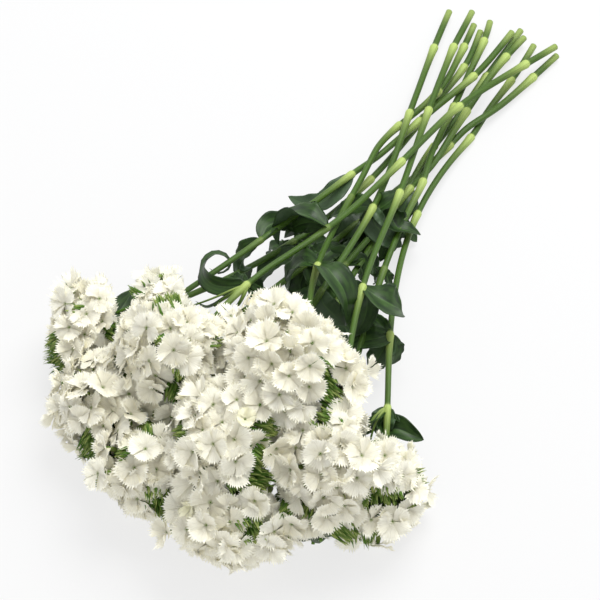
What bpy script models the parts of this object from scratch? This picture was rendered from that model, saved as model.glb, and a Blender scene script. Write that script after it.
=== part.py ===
"""A loose bunch of eleven cut white sweet williams (Dianthus barbatus) that lies on a surface.

The stems run along Y, cut ends towards +Y and flower heads towards -Y, and +Z is up. The origin is
on the surface, under the middle of the bunch. Each stem is one solid with its joints, its leaves and
the green calyx cup and bract tips of its head. The white florets of each head are a second solid.
"""

from math import cos, pi, radians, sin

import bpy
import bmesh
import numpy as np
from mathutils.bvhtree import BVHTree

# Driving sizes, in millimetres unless said otherwise
MM = 0.001
CENTRING = (-8.0, -69.0, 0.0)
FOOT_RADIUS = 2.9
NECK_RADIUS = 2.0
JOINT_SWELL = 1.5
JOINT_LENGTH = 16.0
# How far apart the stems' skins, and any two solids, stay
STEM_GAP = 1.7
PART_GAP = 0.45
FLOOR_GAP = 0.1
SCRAP_SIZE = 0.01

# Reading and settling of the stems' paths: a stem's last few steps stay with its head
STEP = 4.0
JOINT_RINGS = (-2, 0, 4)
BEND_TOLERANCE = 0.4
SETTLE_ROUNDS = 120
SETTLE_SHARE = 0.5
SETTLE_SPREAD = (0.5, 0.9, 1.0, 0.9, 0.5)
SETTLE_STIFFNESS = 0.12
HELD_STEPS = 6

# A head's cup and core, as shares of the head's radius
NECK_DROP = 0.46
CUP_RADIUS = 0.46
CUP_TOP = 0.04
CUP_SIDES = 8
CUP_OVERLAP = 3.0
CUP_NECK = NECK_RADIUS + 0.4
CORE_RADIUS = 0.66
CORE_CLEARANCE = 0.04
CORE_FOOT = 0.93
CORE_FOOT_GAP = PART_GAP + 0.2
CORE_SIDES = 9
CORE_LEVELS = (68, 42, 18)
HEAD_ANGLE = radians(112)

# The florets: passes of size, area each takes on the dome, and how far under its surface it may lie
FLORET_RADIUS = 14.8
FLORET_PASSES = [(1.0, 800.0, 0.5, 2.5), (0.92, 330.0, 1.5, 4.0), (0.72, 330.0, 1.5, 4.0)]
CROWDING = 0.88
ROOT_DEPTH = 0.56
ROOT_LIFT = 0.12
FLORET_DISH = 2.6
FLORET_TILT = 0.10
PETALS = 5
PETAL_CORNER = 0.66
PETAL_NOTCH = 0.58
PETAL_LIFTS = (0.9, -0.3, -0.5)
STANDING_ROOM = 0.6
FACING_DOWN = -0.4

# The floret that a low head presses on the surface
LOW_HEAD = 3.0
PRESSED_ROOT = 0.5
PRESSED_DEPTH = 0.6
CUTTER_SIZE = (1000.0, 1000.0, 50.0)

# The awns of the bracts round a head's edge
BRACTS = 8
BRACT_LENGTH = 0.55
BRACT_RADIUS = 1.4
BRACT_ROOT = 0.8 * CUP_RADIUS
BRACT_DROP = CUP_TOP + 0.07
BRACT_SCATTER = 0.25
BRACT_RISES = (0.02, -0.14, -0.32, -0.55)
FLOOR_ROOM = 0.5

# The leaves, and the turns about its stem and the lengths that each may take to clear its neighbours
LEAF_THICKNESS = 1.9
LEAF_THINNING = 0.45
LEAF_STATIONS = 5
LEAF_FOLD = 0.16
LEAF_START = 0.45
LEAF_ARCH = 0.6
LEAF_REACH = 0.35
LEAF_TWIST = 0.3
LEAF_POINT = 0.16
LEAF_SWINGS = (0, 12, -12, 24, -24, 38, -38, 54, -54, 72, -72, 95, -95, 125, -125, 155, -155)
LEAF_LENGTHS = (1.0, 0.8)

# The stems, each named by its number. Every point between the cut end and the head is a joint, where
# the stem swells and may bend. A heading is the head's turn from -Y towards +X, and a tilt its rise,
# in degrees.
STEMS = [
    {
        "head": (-119, -106, 37),
        "radius": 37,
        "heading": -20,
        "tilt": 38,
        "route": [(-29, 336, 4), (-24, 292, 5), (-22, 225, 9), (-22, 140, 17), (-38, 50, 26), (-66, -20, 31)]
    },
    {
        "head": (-79, -70, 61),
        "radius": 31,
        "heading": -15,
        "tilt": 36,
        "route": [(-4, 345, 8), (-7, 281, 13), (-19, 208, 24), (-30, 125, 38), (-49, 21, 56)],
    },
    {
        "head": (-36, -106, 86),
        "radius": 42,
        "heading": -8,
        "tilt": 40,
        "route": [(35, 348, 13), (25, 314, 18), (5, 233, 34), (0, 149, 48), (-9, 53, 62), (-30, -27, 74)],
    },
    {
        "head": (-68, -154, 41),
        "radius": 41,
        "heading": -14,
        "tilt": 38,
        "route": [(38, 347, 4), (33, 315, 5), (11, 212, 8), (-6, 118, 14), (-20, 40, 22), (-40, -50, 31)],
    },
    {
        "head": (48, -80, 108),
        "radius": 53,
        "heading": 12,
        "tilt": 50,
        "route": [(-38, 338, 4), (-31, 312, 6), (-22, 250, 13), (-30, 197, 24), (-16, 98, 46), (2, 20, 66)],
    },
    {
        "head": (103, -113, 84),
        "radius": 42,
        "heading": 18,
        "tilt": 40,
        "route": [(-46, 346, 9), (-37, 300, 14), (-16, 220, 28), (14, 123, 46), (40, 24, 62), (72, -50, 72)],
    },
    {
        "head": (34, -147, 88),
        "radius": 43,
        "heading": 4,
        "tilt": 42,
        "route": [(-64, 338, 6), (-52, 290, 12), (-27, 207, 26), (3, 103, 44), (15, 8, 58)],
    },
    {
        "head": (-15, -174, 41),
        "radius": 42,
        "heading": -6,
        "tilt": 36,
        "route": [(6, 346, 8), (3, 317, 10), (7, 244, 14), (11, 150, 20), (8, 55, 27), (0, -45, 33)],
    },
    {
        "head": (56, -172, 43),
        "radius": 45,
        "heading": 6,
        "tilt": 34,
        "route": [(-2, 355, 4), (-1, 293, 5), (2, 204, 9), (9, 120, 17), (20, 22, 27), (38, -72, 34)],
    },
    {
        "head": (134, -97, 37),
        "radius": 37,
        "heading": 26,
        "tilt": 40,
        "route": [(16, 346, 4), (20, 302, 5), (18, 231, 6), (25, 134, 14), (71, 15, 34), (104, -42, 38)],
    },
    {
        "head": (103, -143, 39),
        "radius": 39,
        "heading": 16,
        "tilt": 36,
        "route": [(-29, 347, 5), (-22, 325, 8), (-5, 245, 12), (14, 157, 21), (35, 66, 29), (66, -30, 33)],
    },
]

# The leaves: stem number, joint counted from the cut end, where the tip is from the joint, and width
LEAVES = [
    (1, 3, (-39, -56, 7), 22),
    (1, 4, (-12, -44, 12), 18),
    (1, 4, (18, -50, 4), 20),
    (1, 5, (-36, -40, 16), 16),
    (2, 4, (6, -44, -10), 20),
    (2, 4, (-26, -34, 2), 15),
    (3, 4, (-44, -30, -2), 26),
    (3, 4, (8, -44, 14), 20),
    (3, 5, (-38, -8, 2), 15),
    (3, 5, (-26, -12, -14), 16),
    (4, 4, (-30, -36, -8), 18),
    (5, 5, (44, -34, 4), 27),
    (5, 5, (-10, -42, -2), 24),
    (6, 4, (40, -12, -6), 28),
    (6, 4, (6, -36, -14), 20),
    (7, 3, (20, -36, -6), 22),
    (7, 3, (-12, -36, 8), 20),
    (7, 4, (34, -24, 0), 22),
    (7, 4, (-26, -26, -8), 20),
    (8, 4, (-25, -54, 6), 22),
    (8, 5, (26, -24, -8), 20),
    (9, 4, (18, -42, -4), 20),
    (9, 5, (50, -32, 0), 22),
    (10, 3, (22, -28, 0), 24),
    (10, 3, (2, -46, 2), 24),
    (10, 4, (-26, -28, -4), 24),
    (10, 4, (25, -24, -6), 22),
    (10, 5, (38, -14, -2), 26),
    (10, 5, (-12, -28, 8), 13),
    (11, 4, (-30, -40, 6), 20),
    (11, 5, (18, -42, -6), 20),
]

GREEN = (0.075, 0.185, 0.045, 1.0)
WHITE = (0.86, 0.85, 0.76, 1.0)


def unit(vector):
    """The vector at length one, or each row of an array of them."""
    vector = np.asarray(vector, float)
    return vector / np.linalg.norm(vector, axis=-1, keepdims=True)


def frame_of(axis):
    """Two unit vectors square to the axis and to each other."""
    helper = np.array([0.0, 0.0, 1.0]) if abs(axis[2]) < 0.9 else np.array([0.0, 1.0, 0.0])
    side = unit(np.cross(helper, axis))
    return side, np.cross(axis, side)


def head_axis(stem):
    """The way the head grows: its heading in plan and its tilt above the surface."""
    heading = radians(stem["heading"])
    tilt = radians(stem["tilt"])
    return np.array([sin(heading) * cos(tilt), -cos(heading) * cos(tilt), sin(tilt)])


def smooth_path(points):
    """A Hermite curve through the points, read every STEP, with the index of each given point."""
    points = np.asarray(points, float)
    knots = np.r_[0, np.cumsum(np.linalg.norm(np.diff(points, axis=0), axis=1))]
    slopes = np.gradient(points, knots, axis=0)
    count = int(knots[-1] / STEP) + 1
    along = np.linspace(0, knots[-1], count)
    span = np.clip(np.searchsorted(knots, along, side="right") - 1, 0, len(points) - 2)
    width = np.diff(knots)[span, None]
    u = (along - knots[span])[:, None] / width
    path = (
        (2 * u**3 - 3 * u**2 + 1) * points[span]
        + (u**3 - 2 * u**2 + u) * width * slopes[span]
        + (3 * u**2 - 2 * u**3) * points[span + 1]
        + (u**3 - u**2) * width * slopes[span + 1]
    )
    marks = np.round(knots / knots[-1] * (count - 1)).astype(int)
    return path, marks


def path_radius(path, marks):
    """Radius along a stem: an even taper, times a swelling that starts at each joint and dies away."""
    share = np.linspace(0, 1, len(path))
    radius = FOOT_RADIUS + (NECK_RADIUS - FOOT_RADIUS) * share
    along = np.arange(len(path)) * STEP
    swell = np.zeros(len(path))
    for mark in marks[1:-1]:
        past = along - along[mark]
        swell = np.maximum(swell, np.where(past >= -STEP, np.exp(-np.abs(past) / JOINT_LENGTH), 0))
    return radius * (1 + (JOINT_SWELL - 1) * swell)


def settle(paths, radii, cores):
    """Nudges stems off each other, off other stems' head cores and off the floor, a little each round."""
    owner = np.concatenate([np.full(len(p), k) for k, p in enumerate(paths)])
    radius = np.concatenate(radii)
    ease = np.concatenate([np.clip((len(p) - 1 - np.arange(len(p))) / HELD_STEPS, 0, 1) for p in paths])
    starts = np.r_[0, np.cumsum([len(p) for p in paths])]
    points = np.concatenate(paths)
    need = radius[:, None] + radius[None, :] + STEM_GAP
    need[owner[:, None] == owner[None, :]] = 0
    for _ in range(SETTLE_ROUNDS):
        apart = points[:, None] - points[None]
        distance = np.sqrt((apart**2).sum(-1)) + 1e-9
        short = np.clip(need - distance, 0, None)
        worst = short.argmax(axis=1)
        rows = np.arange(len(points))
        push = apart[rows, worst] / distance[rows, worst, None] * short[rows, worst, None] * SETTLE_SHARE
        for k, (centre, reach) in enumerate(cores):
            away = points - centre
            far = np.linalg.norm(away, axis=1)
            deep = np.clip(reach + radius + STEM_GAP - far, 0, None) * (owner != k)
            push += away / far[:, None] * deep[:, None] * SETTLE_SHARE
        push[:, 2] += np.clip(radius + FLOOR_GAP - points[:, 2] - push[:, 2], 0, None)
        push *= ease[:, None]
        for first, last in zip(starts[:-1], starts[1:]):
            piece = push[first:last]
            padded = np.pad(piece, ((2, 2), (0, 0)), mode="edge")
            spread = sum(w * padded[i : i + len(piece)] for i, w in enumerate(SETTLE_SPREAD))
            points[first:last] += spread * SETTLE_SHARE * ease[first:last, None]
            line = points[first:last]
            bend = line[:-2] + line[2:] - 2 * line[1:-1]
            line[1:-1] += SETTLE_STIFFNESS * ease[first + 1 : last - 1, None] * bend
        points[:, 2] = np.maximum(points[:, 2], radius + FLOOR_GAP)
    return [points[a:b] for a, b in zip(starts[:-1], starts[1:])]


def lay_stems():
    """Every stem's settled path and radii, with its joints' indices."""
    paths, marks, radii, cores = [], [], [], []
    for stem in STEMS:
        centre = np.array(stem["head"], float)
        neck = centre - head_axis(stem) * stem["radius"] * NECK_DROP
        path, mark = smooth_path([*stem["route"], neck])
        paths.append(path)
        marks.append(mark)
        radii.append(path_radius(path, mark))
        cores.append((centre, stem["radius"] * (CORE_RADIUS + CORE_CLEARANCE)))
    return settle(paths, radii, cores), radii, marks


def tube_stations(path, marks):
    """Indices along a path where the tube needs a ring: at each joint, and wherever it would cut a bend."""
    last = len(path) - 1
    stations = {0, last}
    for mark in marks[1:-1]:
        stations |= {mark + step for step in JOINT_RINGS}
    stations = sorted(i for i in stations if 0 <= i <= last)
    i = 0
    while i < len(stations) - 1:
        first, second = stations[i], stations[i + 1]
        chord = unit(path[second] - path[first])
        between = path[first : second + 1] - path[first]
        stray = np.linalg.norm(between - (between @ chord)[:, None] * chord, axis=1)
        if stray.max() > BEND_TOLERANCE:
            stations.insert(i + 1, first + int(stray.argmax()))
        else:
            i += 1
    return stations


def stem_tube(path, radius, marks):
    """The stem as a poly curve whose points carry its radius, made into a closed mesh's points and faces."""
    curve = bpy.data.curves.new("stem_curve", "CURVE")
    curve.dimensions = "3D"
    curve.bevel_depth = MM
    curve.bevel_resolution = 1
    curve.use_fill_caps = True
    stations = tube_stations(path, marks)
    spline = curve.splines.new("POLY")
    spline.points.add(len(stations) - 1)
    for point, i in zip(spline.points, stations):
        point.co = (*(path[i] * MM), 1.0)
        point.radius = radius[i]
    holder = bpy.data.objects.new("stem_curve", curve)
    bpy.context.scene.collection.objects.link(holder)
    graph = bpy.context.evaluated_depsgraph_get()
    mesh = bpy.data.meshes.new_from_object(holder.evaluated_get(graph))
    bpy.data.objects.remove(holder)
    bpy.data.curves.remove(curve)
    shape = bmesh.new()
    shape.from_mesh(mesh)
    bpy.data.meshes.remove(mesh)
    bmesh.ops.remove_doubles(shape, verts=shape.verts, dist=SCRAP_SIZE * MM)
    return shape_data(shape)


def shape_data(shape):
    """Points in millimetres and faces of a bmesh, which is freed, with its faces pointing out."""
    bmesh.ops.recalc_face_normals(shape, faces=shape.faces)
    shape.verts.index_update()
    points = np.array([v.co[:] for v in shape.verts]) / MM
    faces = [[v.index for v in f.verts] for f in shape.faces]
    shape.free()
    return points, faces


def turned(points, centre, axis):
    """Points modelled along +Z, turned so that +Z is the axis, and moved to the centre."""
    side, other = frame_of(axis)
    return centre + points @ np.array([side, other, axis])


def calyx_cup(stem):
    """The green cup under a head: a cone that widens from the stem's end to its flat top."""
    radius = stem["radius"]
    height = (NECK_DROP - CUP_TOP) * radius + CUP_OVERLAP
    shape = bmesh.new()
    bmesh.ops.create_cone(
        shape,
        cap_ends=True,
        segments=CUP_SIDES,
        radius1=CUP_NECK * MM,
        radius2=CUP_RADIUS * radius * MM,
        depth=height * MM,
    )
    points, faces = shape_data(shape)
    points[:, 2] -= height / 2 + CUP_TOP * radius
    return turned(points, np.array(stem["head"], float), head_axis(stem)), faces


def bract(stem, turn, rise, length):
    """One bract's awn: a three-sided spike from inside the cup's rim out past the florets."""
    radius = stem["radius"]
    axis = head_axis(stem)
    side, other = frame_of(axis)
    out = side * cos(turn) + other * sin(turn)
    way = unit(out + axis * rise)
    root = np.array(stem["head"], float) + (out * BRACT_ROOT - axis * BRACT_DROP) * radius
    shape = bmesh.new()
    bmesh.ops.create_cone(
        shape, cap_ends=True, segments=3, radius1=BRACT_RADIUS * MM, radius2=0, depth=length * MM
    )
    bmesh.ops.remove_doubles(shape, verts=shape.verts, dist=SCRAP_SIZE * MM)
    points, faces = shape_data(shape)
    points[:, 2] += length / 2
    return turned(points, root, way), faces


def core_dome(stem):
    """The middle of the white dome: a turned cap that all the florets of a head stand out of."""
    radius = stem["radius"] * CORE_RADIUS
    levels = [(radius * CORE_FOOT, CORE_FOOT_GAP - stem["radius"] * CUP_TOP)]
    levels += [(radius * sin(radians(a)), radius * cos(radians(a))) for a in CORE_LEVELS]
    turns = np.arange(CORE_SIDES) * 2 * pi / CORE_SIDES
    rings = [
        np.column_stack([r * np.cos(turns), r * np.sin(turns), np.full(CORE_SIDES, z)]) for r, z in levels
    ]
    points = np.vstack([*rings, [[0, 0, radius]]])
    faces = [list(range(CORE_SIDES))[::-1]]
    for level in range(len(levels) - 1):
        for i in range(CORE_SIDES):
            j = (i + 1) % CORE_SIDES
            a, b = level * CORE_SIDES, (level + 1) * CORE_SIDES
            faces.append([a + i, a + j, b + j, b + i])
    last = (len(levels) - 1) * CORE_SIDES
    faces += [[last + i, last + (i + 1) % CORE_SIDES, len(points) - 1] for i in range(CORE_SIDES)]
    return turned(points, np.array(stem["head"], float), head_axis(stem)), faces


def floret(spot, normal, root, size, spin, dish, tilt):
    """One floret: five notched petals in a shallow dish, over a funnel that narrows to its root."""
    around = []
    half = pi / PETALS
    first_lift, second_lift, notch_lift = PETAL_LIFTS
    for petal in range(PETALS):
        middle = spin + petal * 2 * half
        around += [
            (middle - PETAL_CORNER * half, size, first_lift),
            (middle + PETAL_CORNER * half, size, second_lift),
            (middle + half, size * PETAL_NOTCH, notch_lift),
        ]
    rim = np.array([[r * cos(a), r * sin(a), z if dish else 0.0] for a, r, z in around])
    rim[:, 2] += tilt[0] * rim[:, 0] + tilt[1] * rim[:, 1]
    top = turned(np.vstack([rim, [[0, 0, -dish]]]), spot, normal)
    count = len(rim)
    faces = [[i, (i + 1) % count, count] for i in range(count)]
    faces += [[(i + 1) % count, i, count + 1] for i in range(count)]
    return np.vstack([top, [root]]), faces


def dome_ways(stem, count, start):
    """Directions spread evenly over the dome: a sunflower spiral from the head's axis to its edge."""
    axis = head_axis(stem)
    side, other = frame_of(axis)
    i = np.arange(count) + 0.5
    lean = np.arccos(1 - (1 - cos(HEAD_ANGLE)) * i / count)
    turn = i * pi * (3 - 5**0.5) + start
    return (
        np.cos(lean)[:, None] * axis
        + np.sin(lean)[:, None] * (np.cos(turn)[:, None] * side + np.sin(turn)[:, None] * other)
    )


def leaf(root, way, tip, width):
    """A folded blade: a four-cornered section carried along an arch from the joint to the tip."""
    start = way * np.linalg.norm(tip) * LEAF_START
    u = np.linspace(0, 1, LEAF_STATIONS + 2)[:, None]
    rising, turning = 3 * u * (1 - u) ** 2, 3 * u**2 * (1 - u)
    spine = root + rising * start * LEAF_ARCH + turning * (start + tip * LEAF_REACH) + u**3 * tip
    along = unit(np.gradient(spine, axis=0))
    across = unit(np.cross(along, unit(tip) * LEAF_TWIST + np.array([0.0, 0.0, 1.0])))
    up = np.cross(across, along)
    share = u[:, 0]
    half = width / 2 * np.clip(np.sin(pi * share**0.8) ** 0.75, LEAF_POINT, 1)
    thick = LEAF_THICKNESS / 2 * (1 - LEAF_THINNING * share)
    rise = half * 2 * LEAF_FOLD
    rings = []
    for i in range(1, LEAF_STATIONS + 1):
        rings += [
            spine[i] - across[i] * half[i] + up[i] * rise[i],
            spine[i] - up[i] * thick[i],
            spine[i] + across[i] * half[i] + up[i] * rise[i],
            spine[i] + up[i] * thick[i],
        ]
    points = np.vstack([rings, spine[:1], spine[-1:]])
    faces = []
    for i in range(LEAF_STATIONS - 1):
        for j in range(4):
            a, b, c, d = 4 * i + j, 4 * i + (j + 1) % 4, 4 * i + 4 + (j + 1) % 4, 4 * i + 4 + j
            faces += [[a, b, c], [a, c, d]] if j % 2 else [[a, b, d], [b, c, d]]
    first, last, end = len(points) - 2, len(points) - 1, 4 * LEAF_STATIONS - 4
    faces += [[first, (j + 1) % 4, j] for j in range(4)]
    faces += [[last, end + j, end + (j + 1) % 4] for j in range(4)]
    return points, faces


class Pile:
    """The pieces placed so far, by node, so that a new one is kept only where it touches no other node."""

    def __init__(self):
        self.nodes = {}
        self.trees = []

    def add(self, node, piece):
        points, faces = piece
        self.nodes.setdefault(node, []).append(piece)
        tree = BVHTree.FromPolygons([tuple(p) for p in points], faces)
        self.trees.append((node, points.min(0), points.max(0), points, tree))

    def clear(self, node, piece):
        points, faces = piece
        low, high = points.min(0) - PART_GAP, points.max(0) + PART_GAP
        tree = BVHTree.FromPolygons([tuple(p) for p in points], faces)
        probes = np.vstack([points, [points[list(f)].mean(0) for f in faces]])
        for other, other_low, other_high, other_points, other_tree in self.trees:
            if other == node or (low > other_high).any() or (high < other_low).any():
                continue
            if tree.overlap(other_tree):
                return False
            if any(other_tree.find_nearest(tuple(p), PART_GAP)[0] is not None for p in probes):
                return False
            near = other_points[((other_points > low) & (other_points < high)).all(1)]
            if any(tree.find_nearest(tuple(p), PART_GAP)[0] is not None for p in near):
                return False
        return True


def floret_spots(number, stem):
    """Rows of spot, normal, root, dish and size: one floret pressed on the floor, an even spiral, and
    closer spirals of smaller florets for the gaps."""
    rng = np.random.default_rng(number)
    centre = np.array(stem["head"], float)
    axis = head_axis(stem)
    radius = stem["radius"]
    rows = []
    if centre[2] < radius + LOW_HEAD:
        down = np.array([0.0, 0.0, -1.0])
        under = unit(down - axis * (down @ axis))
        root = centre + (axis * ROOT_LIFT + under * PRESSED_ROOT) * radius
        rows.append((np.array([root[0], root[1], -PRESSED_DEPTH]), down, root, 0.0, 1.0))
    share = 2 * pi * radius**2 * (1 - cos(HEAD_ANGLE))
    start = rng.uniform(0, 2 * pi)
    for size, area, least, most in FLORET_PASSES:
        for way in dome_ways(stem, round(share / area), start + size):
            root = centre + way * radius * ROOT_DEPTH
            root += axis * max(0.0, radius * ROOT_LIFT - (root - centre) @ axis)
            rows.append((centre + way * (radius - rng.uniform(least, most)), way, root, FLORET_DISH, size))
    return rows


def place_florets(pile):
    """Gives each head in turn its next floret, where that one meets no other floret, head or stem."""
    spots = {number: floret_spots(number, stem) for number, stem in enumerate(STEMS, 1)}
    kept = {number: [] for number in spots}
    for turn in range(max(len(rows) for rows in spots.values())):
        for number, rows in spots.items():
            if turn < len(rows):
                place_floret(pile, number, rows[turn], kept[number], turn)


def place_floret(pile, number, row, kept, turn):
    """Adds one floret, if it stands clear of the head's own florets and of every other node."""
    spot, normal, root, dish, size = row
    rng = np.random.default_rng((number, turn))
    size = FLORET_RADIUS * size
    spin = rng.uniform(0, 2 * pi)
    tilt = rng.uniform(-FLORET_TILT, FLORET_TILT, 2) * (dish > 0)
    if any(np.linalg.norm(spot - other) < (size + other_size) * CROWDING for other, other_size in kept):
        return
    if dish and spot[2] < size * STANDING_ROOM and normal[2] < FACING_DOWN:
        return
    piece = floret(spot, normal, root, size, spin, dish, tilt)
    if pile.clear(f"flowers_{number:02d}", piece):
        kept.append((spot, size))
        pile.add(f"flowers_{number:02d}", piece)


def add_bracts(pile, number, stem):
    """The awns round a head's edge, each only where it is clear of the florets and the floor."""
    node = f"stem_{number:02d}"
    rng = np.random.default_rng(100 + number)
    scatter = rng.uniform(-BRACT_SCATTER, BRACT_SCATTER, BRACTS)
    for turn in (np.arange(BRACTS) + scatter) * 2 * pi / BRACTS:
        for rise in BRACT_RISES:
            piece = bract(stem, turn, rise, stem["radius"] * BRACT_LENGTH)
            if piece[0][:, 2].min() > FLOOR_ROOM and pile.clear(node, piece):
                pile.add(node, piece)
                break


def add_leaf(pile, row, paths, marks):
    """A leaf as the table says, or turned about its stem by the least that clears its neighbours."""
    number, joint, offset, width = row
    path = paths[number - 1]
    mark = marks[number - 1][joint]
    root = path[mark]
    way = unit(path[mark + 2] - path[mark - 1])
    offset = np.array(offset, float)
    for swing in LEAF_SWINGS:
        for stretch in LEAF_LENGTHS:
            tip = swung(offset, way, radians(swing)) * stretch
            piece = leaf(root, way, tip, width * stretch)
            if piece[0][:, 2].min() > FLOOR_ROOM and pile.clear(f"stem_{number:02d}", piece):
                pile.add(f"stem_{number:02d}", piece)
                return


def swung(vector, axis, angle):
    """The vector turned about the axis by the angle."""
    return (
        vector * cos(angle)
        + np.cross(axis, vector) * sin(angle)
        + axis * (axis @ vector) * (1 - cos(angle))
    )


def mesh_object(name, piece, collection, shift=(0, 0, 0)):
    """A mesh object from points in millimetres and faces."""
    points, faces = piece
    mesh = bpy.data.meshes.new(name)
    mesh.from_pydata([tuple(p) for p in (points + np.array(shift)) * MM], [], faces)
    mesh.validate()
    made = bpy.data.objects.new(name, mesh)
    collection.objects.link(made)
    return made


def applied(target):
    """Bakes an object's modifiers into its mesh."""
    graph = bpy.context.evaluated_depsgraph_get()
    old = target.data
    target.data = bpy.data.meshes.new_from_object(target.evaluated_get(graph))
    target.modifiers.clear()
    bpy.data.meshes.remove(old)


def fused(name, pieces, collection, material):
    """One body from a node's pieces: a Boolean union on a collection, then its largest island."""
    helpers = bpy.data.collections.new("pieces")
    bpy.context.scene.collection.children.link(helpers)
    base = mesh_object(name, pieces[0], collection, CENTRING)
    for i, piece in enumerate(pieces[1:]):
        mesh_object(f"piece_{i}", piece, helpers, CENTRING)
    union = base.modifiers.new("union", "BOOLEAN")
    union.operation = "UNION"
    union.operand_type = "COLLECTION"
    union.solver = "EXACT"
    union.collection = helpers
    applied(base)
    for helper in list(helpers.objects):
        mesh = helper.data
        bpy.data.objects.remove(helper)
        bpy.data.meshes.remove(mesh)
    bpy.data.collections.remove(helpers)
    if base.bound_box[0][2] < 0:
        cut_at_floor(base)
    keep_largest(base)
    base.data.materials.clear()
    base.data.materials.append(material)


def cut_at_floor(target):
    """Presses a head flat where it would pass the floor."""
    shape = bmesh.new()
    bmesh.ops.create_cube(shape, size=1)
    points, faces = shape_data(shape)
    points = points * MM * CUTTER_SIZE - [0, 0, CUTTER_SIZE[2] / 2]
    floor = mesh_object("floor_cutter", (points, faces), bpy.context.scene.collection)
    cut = target.modifiers.new("floor", "BOOLEAN")
    cut.operation = "DIFFERENCE"
    cut.solver = "EXACT"
    cut.object = floor
    applied(target)
    mesh = floor.data
    bpy.data.objects.remove(floor)
    bpy.data.meshes.remove(mesh)


def keep_largest(target):
    """Drops loose scraps and merges points that lie on each other."""
    shape = bmesh.new()
    shape.from_mesh(target.data)
    bmesh.ops.remove_doubles(shape, verts=shape.verts, dist=SCRAP_SIZE * MM)
    left = set(shape.verts)
    islands = []
    while left:
        island, edge = set(), [next(iter(left))]
        while edge:
            vert = edge.pop()
            if vert in island:
                continue
            island.add(vert)
            edge += [e.other_vert(vert) for e in vert.link_edges]
        left -= island
        islands.append(island)
    largest = max(islands, key=len)
    bmesh.ops.delete(shape, geom=[v for v in shape.verts if v not in largest], context="VERTS")
    bmesh.ops.triangulate(shape, faces=shape.faces)
    shape.to_mesh(target.data)
    shape.free()


def material(name, colour, roughness):
    """A Principled material of one colour."""
    made = bpy.data.materials.new(name)
    made.use_nodes = True
    shader = made.node_tree.nodes["Principled BSDF"]
    shader.inputs["Base Color"].default_value = colour
    shader.inputs["Roughness"].default_value = roughness
    made.diffuse_color = colour
    return made


def main():
    for old in list(bpy.data.objects):
        bpy.data.objects.remove(old)
    collection = bpy.data.collections.new("dianthus_bunch")
    bpy.context.scene.collection.children.link(collection)
    green = material("stem_green", GREEN, 0.45)
    white = material("petal_white", WHITE, 0.7)
    paths, radii, marks = lay_stems()
    pile = Pile()
    for number, stem in enumerate(STEMS, 1):
        k = number - 1
        pile.add(f"stem_{number:02d}", stem_tube(paths[k], radii[k], marks[k]))
        pile.add(f"stem_{number:02d}", calyx_cup(stem))
        pile.add(f"flowers_{number:02d}", core_dome(stem))
    place_florets(pile)
    for number, stem in enumerate(STEMS, 1):
        add_bracts(pile, number, stem)
    for row in LEAVES:
        add_leaf(pile, row, paths, marks)
    for name, pieces in sorted(pile.nodes.items()):
        fused(name, pieces, collection, green if name.startswith("stem") else white)


main()
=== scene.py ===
"""The looks of a loose bunch of eleven cut white sweet williams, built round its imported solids.

The stalks, leaves and flower heads follow the same routes, joints and domes as the solids, so each fine
piece lies where the solid that it stands for lies. Sizes are in millimetres unless said otherwise.
"""

from math import cos, pi, radians, sin

import bpy
import numpy as np
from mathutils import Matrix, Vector


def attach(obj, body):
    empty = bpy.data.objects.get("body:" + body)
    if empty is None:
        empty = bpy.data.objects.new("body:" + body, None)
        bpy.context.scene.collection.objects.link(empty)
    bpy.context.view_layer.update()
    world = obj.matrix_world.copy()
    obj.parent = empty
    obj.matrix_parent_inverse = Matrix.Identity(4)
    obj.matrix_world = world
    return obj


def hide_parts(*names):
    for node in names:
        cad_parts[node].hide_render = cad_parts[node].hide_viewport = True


bl_info = {
    "name": "Cut sweet william bunch",
    "version": (1, 0, 0),
    "blender": (4, 5, 0),
    "location": "3D View > Sidebar > Bunch",
    "description": "Stalks, leaves, calyx tubes and toothed florets of a lying bunch of sweet william",
    "category": "Object",
}

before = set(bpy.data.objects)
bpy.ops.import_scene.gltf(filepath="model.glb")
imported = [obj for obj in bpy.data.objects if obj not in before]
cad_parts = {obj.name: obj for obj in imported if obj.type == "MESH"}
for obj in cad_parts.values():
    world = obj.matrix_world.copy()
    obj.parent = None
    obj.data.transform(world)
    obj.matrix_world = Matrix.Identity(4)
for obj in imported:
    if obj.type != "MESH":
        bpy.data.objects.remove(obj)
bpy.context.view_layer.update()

# A millimetre in metres, the shift that centres the bunch, and a length too small to matter
MM = 0.001
CENTRING = np.array([-8.0, -69.0, 0.0])
TINY = 1e-9

# The solids' own sizes, by which the routes of the stems are settled: radius at the cut end and at the
# neck, how much a joint swells and over what length, the gaps kept between stems and to the surface, the
# step along a path, and how the settling goes
FOOT_RADIUS = 2.9
NECK_RADIUS = 2.0
JOINT_SWELL = 1.5
JOINT_LENGTH = 16.0
STEM_GAP = 1.7
FLOOR_GAP = 0.1
STEP = 4.0
SETTLE_ROUNDS = 120
SETTLE_SHARE = 0.5
SETTLE_SPREAD = (0.5, 0.9, 1.0, 0.9, 0.5)
SETTLE_STIFFNESS = 0.12
HELD_STEPS = 6

# Shares of a head's radius: how far its neck lies under its middle, and its core's radius and clearance;
# and how far from its axis a head bears florets
NECK_DROP = 0.46
CORE_RADIUS = 0.66
CORE_CLEARANCE = 0.04
HEAD_ANGLE = radians(112)

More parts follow.
